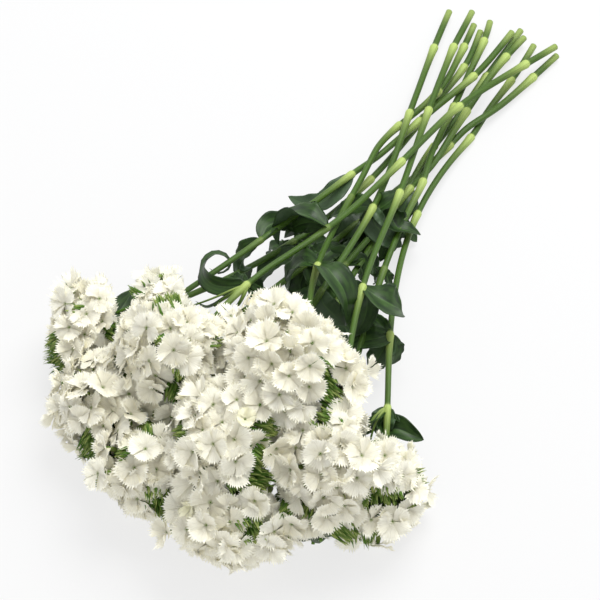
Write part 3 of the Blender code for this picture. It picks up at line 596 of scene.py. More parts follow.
# Leaves that the photograph shows: stem, joint, the midrib after the joint (pixel across, pixel down,
# height), the ways the upper side looks from root to tip, the width, and what else differs.
UP = (0, 0, 1)
PHOTO_LEAVES = [
    (1, 4, [(268, 226, 54), (284, 223, 48), (304, 232, 38)], [UP, (0.2, -0.3, 1)], 19, {"fold": 22}),
    (2, 4, [(310, 217, 68), (293, 214, 62), (280, 229, 46), (279, 245, 34)],
     [(-0.1, 0.4, 1), (-0.3, 0.5, 0.8), (-0.7, 0.2, 0.6)], 28, {"fold": 30, "wave": 1.4}),
    (2, 4, [(312, 222, 56), (296, 226, 46), (284, 238, 34)],
     [(0.1, -0.4, 1), (-0.2, -0.3, 1)], 22, {"fold": 16}),
    (1, 3, [(340, 187, 36), (322, 202, 32), (305, 203, 27), (288, 196, 20)],
     [UP, (0.2, -0.4, 1)], 18, {"tint": 0.8, "fold": 14}),
    (0, 4, [(284, 249, 22), (273, 247, 19), (267, 259, 8)], [UP, (-0.8, 0.2, 0.5)], 15, {"fold": 24}),
    (1, 4, [(250, 249, 48), (243, 259, 40), (245, 272, 26), (249, 282, 16)],
     [UP, (-0.4, -0.1, 1), (0.4, 0, 1)], 19, {"fold": 30}),
    (2, 5, [(230, 287, 70), (212, 284, 64), (203, 273, 60), (206, 260, 58), (216, 253, 57), (228, 258, 55),
            (229, 267, 54), (219, 273, 53), (209, 268, 53)],
     [CAMERA_BACK, CAMERA_BACK, CAMERA_BACK, CAMERA_BACK - CAMERA_RIGHT, 0.3 * CAMERA_BACK - CAMERA_RIGHT,
      CAMERA_UP + 0.3 * CAMERA_BACK, CAMERA_RIGHT + 0.3 * CAMERA_BACK, 0.3 * CAMERA_BACK - CAMERA_UP,
      0.3 * CAMERA_BACK - CAMERA_RIGHT],
     14, {"fold": 14, "wave": 0.4, "fullness": 0.5}),
    (2, 5, [(237, 280, 66), (230, 276, 58)], [UP, (0, -0.3, 1)], 13, {"fold": 20}),
    (2, 5, [(254, 288, 62), (250, 299, 46)], [(0.4, 0, 1), (0.4, -0.2, 1)], 15, {"fold": 34}),
    (3, 4, [(286, 258, 28), (268, 268, 22), (258, 288, 10)],
     [UP, (-0.3, 0, 1)], 21, {"fold": 20, "tint": 0.3}),
    (4, 5, [(305, 262, 62), (292, 272, 48), (288, 291, 28)],
     [(-0.1, 0.2, 1), (-0.4, 0, 1)], 24, {"fold": 24}),
    (4, 5, [(309, 256, 56), (302, 250, 44)], [UP, (0, -0.2, 1)], 14, {"fold": 24}),
    (4, 5, [(330, 271, 84), (343, 289, 80), (348, 310, 62), (346, 326, 40)],
     [(0, 0.1, 1), (0.3, 0.2, 1), (0.6, -0.1, 0.8)], 24, {"fold": 20, "wave": 0.7, "fullness": 0.85}),
    (6, 4, [(323, 303, 57), (332, 313, 52), (346, 326, 40)],
     [(0, -0.4, 1), (0.1, -0.6, 0.8)], 19, {"fold": 12, "tint": 0.9}),
    (6, 4, [(328, 310, 42), (340, 330, 28), (349, 344, 16)],
     [UP, (0.2, 0, 1)], 13, {"fold": 20, "tint": 0.5}),
    (6, 3, [(360, 207, 40), (345, 212, 34), (329, 217, 24)], [UP, (-0.1, 0.2, 1)], 22, {"fold": 22}),
    (3, 3, [(362, 222, 18), (346, 231, 16), (333, 246, 7)],
     [UP, (-0.3, -0.2, 1)], 26, {"fold": 18, "tint": 0.4}),
    (3, 4, [(322, 256, 24), (334, 250, 22), (346, 254, 14)], [UP, (0.2, 0.2, 1)], 22, {"fold": 22}),
    (7, 4, [(356, 262, 24), (362, 270, 17), (361, 281, 8)], [UP, (0.4, 0, 1)], 17, {"fold": 26}),
    (7, 4, [(337, 258, 24), (329, 264, 18), (322, 276, 8)], [UP, (-0.4, 0, 1)], 22, {"fold": 22}),
    (7, 4, [(342, 276, 22), (346, 290, 15), (352, 304, 8)], [UP, (0.2, -0.2, 1)], 20, {"fold": 22}),
    (6, 3, [(380, 218, 43), (389, 229, 36)],
     [(0.3, -0.5, 0.8), (0.3, -0.5, 0.8)], 9, {"fold": 20, "tint": 1.0}),
    (7, 3, [(407, 200, 20), (403, 213, 15), (400, 228, 8)],
     [(0.4, -0.2, 0.8), (0.3, -0.2, 0.9)], 19, {"fold": 14, "tint": 0.6}),
    (5, 3, [(391, 212, 34), (397, 227, 29), (410, 231, 26), (421, 235, 18)],
     [(-0.4, 0, 1), (0, 0.2, 1), (0.1, 0.4, 1)], 23, {"fold": 28, "wave": 1.4}),
    (6, 3, [(374, 222, 34), (387, 236, 26), (402, 247, 15)],
     [(-0.2, -0.3, 1), (0, -0.4, 1)], 23, {"fold": 14, "tint": 0.7}),
    (3, 3, [(372, 226, 14), (371, 241, 11), (376, 257, 5)], [UP, (-0.3, -0.1, 1)], 22, {"fold": 22}),
    (5, 3, [(384, 206, 40), (371, 214, 34), (358, 222, 26)],
     [(-0.1, 0.2, 1), (-0.3, 0.1, 1)], 20, {"fold": 22}),
    (10, 4, [(379, 275, 24), (374, 285, 14)], [(-0.4, 0, 1), (-0.6, 0, 0.8)], 13, {"fold": 26}),
    (10, 4, [(388, 278, 22), (390, 289, 14)], [UP, (0.4, 0, 1)], 9, {"fold": 26}),
    (5, 4, [(376, 296, 64), (390, 304, 60), (402, 310, 48)],
     [(0, 0.2, 1), (0.3, 0.1, 1)], 31, {"fold": 24, "wave": 1.0, "fullness": 1.3}),
    (5, 4, [(367, 302, 54), (364, 320, 42), (353, 337, 26)],
     [(0.1, 0, 1), (-0.2, -0.3, 1)], 20, {"fold": 18, "tint": 0.4}),
    (9, 4, [(382, 326, 35), (373, 320, 31), (365, 327, 22)], [UP, (-0.2, -0.5, 0.8)], 13, {"fold": 26}),
    (9, 4, [(378, 338, 36), (363, 341, 32), (347, 346, 22)],
     [(0, 0.1, 1), (-0.1, 0.1, 1)], 23, {"fold": 16, "wave": 0.6}),
    (9, 4, [(391, 344, 28), (394, 356, 20), (391, 365, 10)],
     [(0.4, 0, 1), (0.6, 0, 0.8)], 18, {"fold": 22}),
    (9, 4, [(384, 348, 28), (377, 360, 20), (368, 373, 9)],
     [(-0.1, -0.3, 1), (-0.2, -0.4, 0.9)], 22, {"fold": 12, "tint": 0.7}),
    (9, 5, [(389, 428, 29), (400, 430, 30), (412, 435, 30), (424, 440, 27)],
     [(-0.1, 0.3, 1), (-0.2, -0.5, 0.8)], 23, {"fold": 34, "wave": 0.4}),
    (9, 5, [(377, 418, 38), (366, 423, 36), (357, 411, 29)],
     [(0, 0.4, 1), (-0.2, 0.5, 0.7)], 7, {"fold": 26, "wave": 0.2}),
    (9, 5, [(383, 424, 30), (380, 439, 20)],
     [(-0.1, -0.4, 1), (-0.2, -0.4, 1)], 20, {"fold": 12, "tint": 0.9}),
    (9, 5, [(374, 428, 32), (366, 434, 28), (362, 430, 22)],
     [(0, 0.3, 1), (0, 0.3, 1)], 5, {"fold": 26, "wave": 0.2}),
    (0, 6, [(114, 320, 44), (124, 305, 44), (134, 289, 38)],
     [CAMERA_BACK, CAMERA_BACK], 21, {"fold": 14, "wave": 0.6}),
    (3, 4, [(318, 280, 16), (326, 296, 10), (332, 312, 5)], [UP, (0.2, 0, 1)], 26, {"fold": 20}),
    (8, 4, [(344, 318, 20), (352, 334, 10)], [UP, (0.2, 0, 1)], 24, {"fold": 20}),
    (8, 4, [(352, 296, 24), (366, 300, 16), (378, 314, 7)], [UP, (0.2, 0, 1)], 24, {"fold": 20}),
    (8, 3, [(396, 226, 14), (408, 233, 10), (417, 242, 4)], [UP, (0.1, 0.1, 1)], 20, {"fold": 20}),
    (8, 3, [(380, 226, 14), (366, 232, 10), (352, 241, 4)], [UP, (-0.1, 0, 1)], 24, {"fold": 20}),
    (0, 4, [(300, 256, 20), (298, 274, 10)], [UP, (0, 0, 1)], 22, {"fold": 24}),
    (2, 5, [(222, 300, 62), (207, 307, 52), (195, 301, 44)],
     [(0, 0.3, 1), (-0.2, 0.4, 0.7)], 5, {"fold": 26, "wave": 0.2}),
    (8, 3, [(378, 226, 11), (362, 238, 8), (347, 254, 5)], [UP, (0, -0.2, 1)], 30, {"wave": 1.6}),
    (7, 4, [(344, 256, 15), (332, 246, 10), (316, 241, 6)], [UP, (0, 0.2, 1)], 30, {"wave": 1.6}),
    (7, 4, [(357, 256, 14), (369, 262, 9), (374, 277, 5)], [UP, (0.2, 0, 1)], 26, {"wave": 1.8}),
    (3, 4, [(304, 272, 18), (300, 285, 12), (303, 299, 7)], [UP, (-0.1, -0.2, 1)], 28, {"wave": 1.6}),
    (8, 4, [(330, 290, 18), (317, 281, 12), (304, 270, 7)], [UP, (-0.1, 0, 1)], 30, {"wave": 1.4}),
    (0, 4, [(304, 243, 18), (320, 248, 12), (336, 256, 7)], [UP, (0.1, 0, 1)], 28, {"wave": 1.6}),
    (8, 4, [(348, 304, 20), (360, 312, 14), (372, 326, 8)], [UP, (0.2, 0, 1)], 28, {"wave": 1.6}),
    (8, 3, [(392, 228, 12), (388, 244, 8), (380, 262, 5)], [UP, (0.1, -0.1, 1)], 20, {"wave": 1.6}),
    (2, 5, [(256, 294, 66), (268, 300, 54), (284, 298, 40)], [UP, (0, -0.3, 1)], 16, {"wave": 1.2}),
    (6, 4, [(312, 296, 50), (300, 300, 44), (284, 304, 36)], [UP, (0, -0.2, 1)], 18, {"wave": 1.2}),
]


def photo_leaf(row):
    """A leaf of the table: its midrib goes from the middle of its joint through the given points."""
    number, joint, midrib, face, width, options = row
    root = STEM_PATHS[number][STEM_MARKS[number][joint]]
    return blade([root] + [photo_point(*point) for point in midrib], face, width, **options)


# Flower heads


# How much lower the florets of each head lie than its ball, so that its outline is the photograph's
HEAD_TRIMS = np.array([0, 2.5, 0, 2.5, 6.0, 3.5, 5.0, 1.5, 1, 2.5, 1.5])
DOME_RADII = HEAD_RADII - HEAD_TRIMS

# How florets are spread over the domes: rounds, the share of each step, how far under the lowest height
# one may start, and a distance too great to count
SPREAD_ROUNDS = 40
SPREAD_SHARE = 0.22
SPREAD_UNDER = 8
FAR_OFF = 1e6

# How much of a floret's reach stays inside the photographed outline, how far one is moved for it at most
# in one go, how many times, how far short of it one may fall, in pixels, and at what shares of each of
# its lines that is looked at. Then how far inside it awns and the flower stalks at the back of a head
# end.
OUTLINE_SHARE = 1.05
OUTLINE_LIMIT = 12.0
OUTLINE_ROUNDS = 4
OUTLINE_SLACK = 1.5
OUTLINE_STEPS = (0.0, 0.33, 0.66)
AWN_MARGIN = 3.0
RAY_MARGIN = 5.0

# Gaps between the florets in which the photograph shows the green bracts: pixel across and down, and radius
BARE_SPOTS = [
    (87, 442, 8),
    (87, 458, 10),
    (92, 476, 8),
    (376, 501, 11),
    (395, 497, 7),
    (266, 462, 7),
    (266, 482, 9),
    (255, 534, 9),
    (161, 296, 7),
    (173, 293, 5),
    (50, 347, 8),
    (56, 366, 9),
    (354, 537, 8),
    (340, 532, 6),
    (368, 541, 6),
    (157, 502, 9),
    (163, 519, 6),
    (335, 395, 8),
    (321, 418, 8),
    (272, 429, 7),
    (118, 334, 6),
    (175, 433, 6),
    (237, 490, 5),
    (178, 378, 5),
    (220, 341, 4),
    (169, 400, 4),
    (68, 308, 4),
    (284, 515, 4),
    (146, 427, 4),
    (118, 455, 4),
    (329, 370, 4),
    (155, 345, 3),
    (307, 515, 4),
]

# The outline of the white flowers in the photograph, in pixels, clockwise from the upper left
FLOWER_OUTLINE = np.array([
    (55, 285), (70, 275), (105, 276), (112, 290), (119, 304), (119, 318), (128, 308), (136, 296),
    (137, 277), (157, 269), (175, 270), (186, 282), (187, 297), (197, 311), (208, 312), (222, 311),
    (238, 297), (258, 291), (285, 291), (303, 298), (315, 314), (337, 332), (349, 350), (365, 356),
    (375, 371), (372, 392), (359, 402), (362, 416), (365, 441), (373, 443), (384, 434), (398, 445),
    (410, 447), (418, 460), (421, 476), (430, 489), (429, 503), (419, 518), (405, 533), (392, 543),
    (378, 552), (356, 551), (341, 540), (330, 533), (317, 544), (303, 538), (290, 545), (280, 560),
    (239, 567), (227, 568), (200, 555), (178, 546), (160, 541), (152, 522), (131, 515), (104, 491),
    (92, 486), (80, 463), (66, 434), (52, 420), (49, 404), (54, 384), (56, 372), (54, 358),
    (51, 344), (52, 332), (53, 305),
], float)

# Florets that fill what the even spread leaves open, each at a pixel
EXTRA_SPOTS = [(246, 322), (277, 306), (260, 306), (296, 312)]

# Bristly bracts that stand out past the florets: pixel across and down, radius, and the way out in the
# picture
BRISTLE_SPOTS = [
    (49, 346, 7, (-1.0, -0.1)),
    (48, 358, 7, (-1.0, 0.1)),
    (54, 368, 7, (-1.0, 0.3)),
    (88, 476, 6, (-0.8, 0.6)),
    (80, 455, 6, (-0.9, 0.3)),
    (422, 474, 5, (1.0, -0.3)),
    (426, 488, 5, (1.0, 0.0)),
    (64, 285, 4, (-0.6, -0.8)),
    (131, 288, 4, (-0.7, -0.7)),
    (352, 544, 5, (0.1, 1.0)),
    (368, 546, 5, (0.2, 1.0)),
]
BRISTLE_DEPTH = 6.0

# Florets that the photograph shows half open
HALF_OPEN_SPOTS = [(184, 396), (237, 423), (196, 508)]

# The petals and teeth of a floret, its throat's radius in millimetres, and a petal's thickness. Then the
# rows of points along a petal, the last one its teeth's tips, as shares of its length.
PETALS = 5
TEETH = 10
THROAT = 0.6
PETAL_THICKNESS = 0.32
PETAL_ROWS = (0.42, 0.78, 1.0, 1.21)

# What differs from petal to petal, each drawn between two values: the length as a share of the floret's
# size, the half angle at the throat and at the rim, how far it swings aside, how much its corners are
# cut, its slope, its ruffle's height, waves and start, its arch, the curl of its rim, and how far its
# teeth stand up
PETAL_DRAWS = {
    "length": (0.88, 1.04),
    "near": (radians(36), radians(41)),
    "far": (radians(38), radians(47)),
    "swing": (-0.14, 0.14),
    "corner": (0.06, 0.18),
    "slope": (-0.34, 0.36),
    "ruffle": (0.4, 1.25),
    "waves": (3.0, 6.0),
    "start": (0, 6),
    "arch": (-1.6, 1.4),
    "curl": (-2.4, 1.2),
    "fringe": (-0.2, 1.2),
}

# How much each petal is lifted on one side over its neighbour, how deep the dish at the throat is, how
# long the shortest tooth is and how much more a tooth may be, and how rough the petal is
SIDE_LIFT = 0.75
DISH = -1.0
LEAST_TOOTH = 0.55
MORE_TOOTH = 0.9
CRINKLE = 0.38


def dome_depth(points):
    """How far each point lies outside the joined domes, and the way out. Each head is a ball; the domes run
    into each other where they meet: minus the softness times the log of the sum of exp(-distance /
    softness) over the heads."""
    softness = bpy.context.scene.bunch_heads.softness
    apart = points[:, None] - HEAD_CENTRES
    far = np.linalg.norm(apart, axis=2)
    depth = far - DOME_RADII
    weight = np.exp(-(depth - depth.min(axis=1, keepdims=True)) / softness)
    total = weight.sum(1, keepdims=True)
    outside = depth.min(axis=1) - softness * np.log(total[:, 0])
    way = ((apart / far[..., None]) * (weight / total)[..., None]).sum(1)
    return outside, unit(way)


# A line of sight through the bunch: the height that it starts at, and how many of its points are tried
SIGHT_TOP = 240.0
SIGHT_STEPS = 500


def dome_point(across, down):
    """The point of the joined domes that the photograph shows at a pixel: the first one on its line of
    sight."""
    near, far = photo_point(across, down, SIGHT_TOP), photo_point(across, down, 0.0)
    line = near + (far - near) * np.linspace(0, 1, SIGHT_STEPS)[:, None]
    outside, way = dome_depth(line)
    first = np.argmin(np.where(outside <= 0, np.arange(len(line)), outside + len(line)))
    return line[first], way[first]


def owners_of(points):
    """The number of the head whose dome each point is nearest to."""
    return (np.linalg.norm(points[:, None] - HEAD_CENTRES, axis=2) - DOME_RADII).argmin(axis=1)


def dome_spots(area, under, seed):
    """Evenly spread points on the joined domes, lowered under their surface: a sunflower spiral on each
    head, then rounds in which every point steps away from its nearest neighbours and back on the
    surface."""
    spots, owners = [], []
    rng = np.random.default_rng(seed)
    for k, (centre, axis) in enumerate(zip(HEAD_CENTRES, HEAD_AXES)):
        radius = DOME_RADII[k] - under
        count = round(2 * pi * radius**2 * (1 - cos(HEAD_ANGLE)) / area)
        way = round_axis(axis, *sunflower(count, HEAD_ANGLE, rng.uniform(0, 2 * pi)))
        spots.append(centre + way * radius)
        owners.append(np.full(count, k))
    spots, owners = np.concatenate(spots), np.concatenate(owners)
    spacing = (area * 2 / 3**0.5) ** 0.5
    lowest = bpy.context.scene.bunch_heads.lowest
    keep = (owners_of(spots) == owners) & (spots[:, 2] > lowest - SPREAD_UNDER)
    spots, owners = spots[keep], owners[keep]
    for _ in range(SPREAD_ROUNDS):
        apart = spots[:, None] - spots[None]
        distance = np.linalg.norm(apart, axis=2) + np.eye(len(spots)) * FAR_OFF
        push = (apart / distance[..., None] * np.clip(spacing - distance, 0, None)[..., None]).sum(1)
        spots = spots + push * SPREAD_SHARE
        lean = unit(spots - HEAD_CENTRES[owners])
        low = np.clip(cos(HEAD_ANGLE) - (lean * HEAD_AXES[owners]).sum(1), 0, None)
        spots = spots + HEAD_AXES[owners] * (low * HEAD_RADII[owners])[:, None]
        outside, way = dome_depth(spots)
        spots = spots - way * (outside + under)[:, None]
        spots[:, 2] = np.maximum(spots[:, 2], lowest)
    outside, way = dome_depth(spots)
    return spots, way, owners


def outline_depth(seen):
    """How far inside the photographed outline each pixel lies, and the way straight in. A pixel is inside
    if a level line from it to the right crosses the outline an odd number of times."""
    first, after = FLOWER_OUTLINE, np.roll(FLOWER_OUTLINE, -1, axis=0)
    edge = after - first
    offset = seen[:, None] - first
    share = np.clip((offset * edge).sum(2) / (edge**2).sum(1), 0, 1)
    apart = offset - share[..., None] * edge
    far = np.linalg.norm(apart, axis=2)
    nearest = far.argmin(axis=1)
    rows = np.arange(len(seen))
    crosses = (first[:, 1] > seen[:, 1:]) != (after[:, 1] > seen[:, 1:])
    slant = edge[:, 0] / np.where(edge[:, 1] == 0, 1, edge[:, 1])
    right_of = first[:, 0] + (seen[:, 1:] - first[:, 1]) * slant > seen[:, :1]
    sign = np.where((crosses & right_of).sum(1) % 2 == 1, 1.0, -1.0)
    way = apart[rows, nearest] / (far[rows, nearest, None] + TINY)
    return sign * far[rows, nearest], sign[:, None] * way


def seen_reach(ways, sizes, aside):
    """How far a floret that looks along its way reaches in the photograph towards a side, in pixels: its
    size times the sine of the angle between its way and that side."""
    side = aside[..., :1] * CAMERA_RIGHT - aside[..., 1:] * CAMERA_UP
    return sizes / PIXEL * np.sqrt(np.clip(1 - (ways * side).sum(-1) ** 2, 0, 1))


def kept_in_outline(spots, ways, sizes):
    """Florets that reach out of the photographed outline, moved straight back into it."""
    for _ in range(OUTLINE_ROUNDS):
        depth, inwards = outline_depth(photo_pixel(spots))
        short = np.clip(seen_reach(ways, sizes, inwards) * OUTLINE_SHARE - depth, 0, OUTLINE_LIMIT)
        spots = moved(spots, inwards * short[:, None])
    return spots


def drawn_to_outline(spots, ways, sizes):
    """Where the florets fall short of the photographed outline, the one nearest to it is moved out to it:
    at each corner of the outline, and at a third and two thirds of the way to the next."""
    after = np.roll(FLOWER_OUTLINE, -1, axis=0)
    for share in OUTLINE_STEPS:
        for target in FLOWER_OUTLINE * (1 - share) + after * share:
            apart = target - photo_pixel(spots)
            far = np.linalg.norm(apart, axis=1) + TINY
            gap = far - seen_reach(ways, sizes, apart / far[:, None])
            nearest = gap.argmin()
            step = min(max(gap[nearest] - OUTLINE_SLACK, 0), OUTLINE_LIMIT)
            spots[nearest] = moved(spots[nearest], apart[nearest] / far[nearest] * step)
    return spots


def petal_template(teeth):
    """One petal as a flat pattern of (across, out): two throat points, two rows of half as many spans as
    there are teeth, a row of notches, and the tips between them. The under side repeats all points but
    those of the throat, of the two sides and the tips; small walls close the teeth.

    Gives the pattern, its faces, each point's twin on the upper side, which points lie on the under side,
    and which lie on the petal's edge."""
    spans = teeth // 2
    half = np.linspace(-1, 1, spans + 1)
    notch = np.linspace(-1, 1, teeth + 1)
    tip = (notch[1:] + notch[:-1]) / 2
    rows = [([-1, 1], 0.0), *zip((half, half, notch, tip), PETAL_ROWS)]
    uv = np.vstack([np.column_stack([row, np.full(len(row), out)]) for row, out in rows])
    low, high, rim, tips = 2, spans + 3, 2 * spans + 4, 2 * spans + teeth + 5
    j, i = np.arange(spans), np.arange(teeth)
    throat = np.r_[0, 1, low + spans - j, low][None]
    quads = np.concatenate([
        np.stack([low + j, low + j + 1, high + j + 1, high + j], -1),
        np.stack([high + j, high + j + 1, rim + 2 * j + 2, rim + 2 * j + 1], -1),
    ])
    thirds = np.concatenate([
        np.stack([high + j, rim + 2 * j + 1, rim + 2 * j], -1),
        np.stack([rim + i, rim + i + 1, tips + i], -1),
    ])
    inner = np.r_[low + 1 : low + spans, high + 1 : high + spans, rim + 1 : rim + teeth]
    under = np.arange(len(uv))
    under[inner] = len(uv) + np.arange(len(inner))
    k = np.arange(1, teeth)
    walls = np.concatenate([
        np.stack([rim + k, tips + k, under[rim + k]], -1),
        np.stack([rim + k, under[rim + k], tips + k - 1], -1),
    ])
    twins = np.r_[np.arange(len(uv)), inner]
    is_under = np.r_[np.zeros(len(uv)), np.ones(len(inner))]
    on_rim = np.zeros(len(is_under), bool)
    on_rim[:2] = True
    on_rim[[low, low + spans, high, high + spans]] = True
    on_rim[rim : len(uv)] = True
    on_rim[under[rim + k]] = True
    faces = [throat, quads, thirds, walls]
    faces += [under[block][:, ::-1] for block in (throat, quads, thirds)]
    return np.vstack([uv, uv[inner]]), faces, twins, is_under, on_rim


def florets(spots, ways, sizes, opens, tints, rng):
    """Many florets at once. In a floret's own frame a petal's point is at polar angle and radius: the
    angle runs across the petal, wider towards the rim; the radius runs out to the rim, less at the
    corners, plus the teeth. Its height is a slope that opens the floret, a shallow dish at the throat, a
    lift on one side so that petals overlap in turn, a ruffle that grows towards the rim, a curl at the
    rim, and a crinkle."""
    uv, faces, twins, is_under, on_rim = petal_template(TEETH)
    count = len(spots)
    v, t = uv[:, 0], np.minimum(uv[:, 1], 1.0)
    tooth = np.maximum(uv[:, 1] - 1.0, 0)

    def draw(key):
        """One value for each petal of each floret, between the two that the table gives."""
        return rng.uniform(*PETAL_DRAWS[key], (count, PETALS, 1))

    spin = rng.uniform(0, 2 * pi, (count, 1, 1)) + np.arange(PETALS)[None, :, None] * 2 * pi / PETALS
    length = sizes[:, None, None] * draw("length")
    near, far = draw("near"), draw("far")
    spread = near + (far - near) * smooth_step(0.0, 0.7, t)
    angle = spin + draw("swing") + spread * v
    corner = draw("corner")
    jagged = LEAST_TOOTH + MORE_TOOTH * rng.uniform(0, 1, (count, PETALS, len(v)))
    reach = t * (1 - corner * np.abs(v) ** 2.5 * t) + tooth * jagged
    slope = opens[:, None, None] + draw("slope")
    side_lift = SIDE_LIFT * v * smooth_step(0, 0.3, t)
    ruffle = draw("ruffle") * np.sin(draw("waves") * v + draw("start")) * t**1.5
    arch = draw("arch") * (1 - np.abs(v)) * t
    curl = draw("curl") * t**3
    fringe = draw("fringe") * (tooth > 0) * jagged
    dish = DISH * (1 - t) ** 2
    radius = THROAT + (length - THROAT) * reach * np.cos(np.arctan(slope) * 0.8)
    crinkle = rng.normal(0, CRINKLE, (count, PETALS, twins.max() + 1))[..., twins] * t**3
    height = slope * (radius - THROAT) + side_lift + ruffle + arch + curl + fringe + dish + crinkle
    height = height - PETAL_THICKNESS * is_under
    local = np.stack([radius * np.cos(angle), radius * np.sin(angle), height], -1)
    side, other = square_to(ways)
    frames = np.stack([side, other, ways], axis=1)
    points = spots[:, None, None] + np.einsum("fpvk,fkx->fpvx", local, frames)
    size = len(v)
    copies = count * PETALS
    return {
        "points": points.reshape(-1, 3),
        "faces": [repeated(block[:, ::-1], copies, size) for block in faces],
        "uv": np.tile(np.column_stack([(v + 1) / 2, uv[:, 1]]), (copies, 1)),
        "tone": np.tile(is_under, copies),
        "tint": np.repeat(tints, PETALS * size),
        "sharp": np.tile(on_rim, copies),
    }


# The height that points near the surface are pressed to, and how softly, in millimetres
PRESSED_HEIGHT = 0.15
PRESSED_SOFTNESS = 0.8


def pressed(points):
    """Points near the surface that the bunch lies on are pressed flat on it, by a soft limit: the least
    height plus softness times log(1 + exp(height over the least / softness))."""
    height = (points[:, 2] - PRESSED_HEIGHT) / PRESSED_SOFTNESS
    eased = np.maximum(height, 0) + np.log1p(np.exp(-np.abs(height)))
    points[:, 2] = PRESSED_HEIGHT + PRESSED_SOFTNESS * eased
    return points


# How far off a neighbour still counts, how far its height should differ, and the rounds and share of the
# push
HEIGHT_REACH = 24
HEIGHT_GAP = 2.6
HEIGHT_ROUNDS = 30
HEIGHT_SHARE = 0.08


def spread_heights(spots, low, high, rng):
    """A height for each floret, unlike its neighbours': random, then pushed apart among near ones."""
    height = rng.uniform(low, high, len(spots))
    distance = np.linalg.norm(spots[:, None] - spots[None], axis=2)
    near = (distance < HEIGHT_REACH) & (distance > 0)
    for _ in range(HEIGHT_ROUNDS):
        gap = height[:, None] - height[None]
        push = np.sign(gap) * np.clip(HEIGHT_GAP - np.abs(gap), 0, None) * near
        height = np.clip(height + HEIGHT_SHARE * push.sum(1), low, high)
    return height


# Finishes


def node_of(tree, kind, **settings):
    """A new node of a kind, with its settings."""
    node = tree.nodes.new(kind)
    for key, value in settings.items():
        setattr(node, key, value)
    return node


def finish_base(name):
    """A new material, its node tree and its Principled shader."""
    material = bpy.data.materials.new(name)
    material.use_nodes = True
    tree = material.node_tree
    return material, tree, tree.nodes["Principled BSDF"]


def link(tree, source, target):
    """Joins one node's output to another's input."""
    tree.links.new(source, target)


def mix_colour(tree, factor, first, second):
    """A colour mix; each of the three is a socket or a plain value."""
    node = node_of(tree, "ShaderNodeMix", data_type="RGBA")
    for socket, value in ((node.inputs[0], factor), (node.inputs[6], first), (node.inputs[7], second)):
        if isinstance(value, bpy.types.NodeSocket):
            link(tree, value, socket)
        else:
            socket.default_value = value
    return node.outputs[2]


def ramp(tree, value, low, high, bottom=0.0, top=1.0):
    """A value remapped smoothly from one range to another."""
    node = node_of(tree, "ShaderNodeMapRange", interpolation_type="SMOOTHSTEP")
    link(tree, value, node.inputs["Value"])
    node.inputs["From Min"].default_value = low
    node.inputs["From Max"].default_value = high
    node.inputs["To Min"].default_value = bottom
    node.inputs["To Max"].default_value = top
    return node.outputs["Result"]


def attribute(tree, name):
    """A value that the mesh holds for each point."""
    node = node_of(tree, "ShaderNodeAttribute", attribute_name=name)
    return node.outputs["Fac"]


# The inputs of the shared grain, and the grains of the finishes: scale across and along, and for those
# that bump the surface also strength and distance in metres
GRAIN_SOCKETS = ("Across", "Along", "Strength", "Distance")
PETAL_GRAIN = (20.0, 1.2, 0.6, 0.0014)
GREEN_GRAIN = (26.0, 0.8, 0.5, 0.0008)
GREEN_MOTTLE = (6.0, 9.0)
LEAF_GRAIN = (14.0, 2.0, 0.3, 0.0006)
LEAF_MOTTLE = (5.0, 3.0)


def grain_group():
    """The node group that every finish shares: noise on the piece's UV map, drawn out along the surface
    as veins are. It takes the grain's scale across and along and the bump's strength and distance, and
    gives the grain and the bumped normal."""
    if "grain" in bpy.data.node_groups:
        return bpy.data.node_groups["grain"]
    group = bpy.data.node_groups.new("grain", "ShaderNodeTree")
    for socket in GRAIN_SOCKETS:
        group.interface.new_socket(socket, in_out="INPUT", socket_type="NodeSocketFloat")
    group.interface.new_socket("Grain", in_out="OUTPUT", socket_type="NodeSocketFloat")
    group.interface.new_socket("Normal", in_out="OUTPUT", socket_type="NodeSocketVector")
    given, made = node_of(group, "NodeGroupInput"), node_of(group, "NodeGroupOutput")
    scale = node_of(group, "ShaderNodeCombineXYZ")
    link(group, given.outputs["Across"], scale.inputs["X"])
    link(group, given.outputs["Along"], scale.inputs["Y"])
    place = node_of(group, "ShaderNodeMapping")
    link(group, node_of(group, "ShaderNodeUVMap").outputs["UV"], place.inputs["Vector"])
    link(group, scale.outputs["Vector"], place.inputs["Scale"])
    noise = node_of(group, "ShaderNodeTexNoise")
    noise.inputs["Scale"].default_value = 1.0
    noise.inputs["Detail"].default_value = 3.0
    link(group, place.outputs["Vector"], noise.inputs["Vector"])
    bump = node_of(group, "ShaderNodeBump")
    link(group, given.outputs["Strength"], bump.inputs["Strength"])
    link(group, given.outputs["Distance"], bump.inputs["Distance"])
    link(group, noise.outputs["Fac"], bump.inputs["Height"])
    link(group, noise.outputs["Fac"], made.inputs["Grain"])
    link(group, bump.outputs["Normal"], made.inputs["Normal"])
    return group


def grain(tree, across, along, strength=0.3, distance=0.0005):
    """The shared grain in a finish: its value, and its bumped normal."""
    node = node_of(tree, "ShaderNodeGroup", node_tree=grain_group())
    for socket, value in zip(GRAIN_SOCKETS, (across, along, strength, distance)):
        node.inputs[socket].default_value = value
    return node.outputs["Grain"], node.outputs["Normal"]


def uv_parts(tree):
    """The place across and along a piece, from its UV map."""
    where = node_of(tree, "ShaderNodeUVMap")
    split = node_of(tree, "ShaderNodeSeparateXYZ")
    link(tree, where.outputs["UV"], split.inputs["Vector"])
    return split.outputs["X"], split.outputs["Y"]


# The light that goes into a petal: its share, how far each of red, green and blue goes, and over what depth
# in metres. Then how much darker and lighter than its own green the waxy green is in places; the darker
# green is also the painted shade of a head's core.
PETAL_GLOW = 0.34
PETAL_GLOW_RADIUS = (1.0, 0.95, 0.8)
PETAL_GLOW_DEPTH = 0.004
DEEP_GREEN = 0.3
LIGHT_GREEN = 1.8

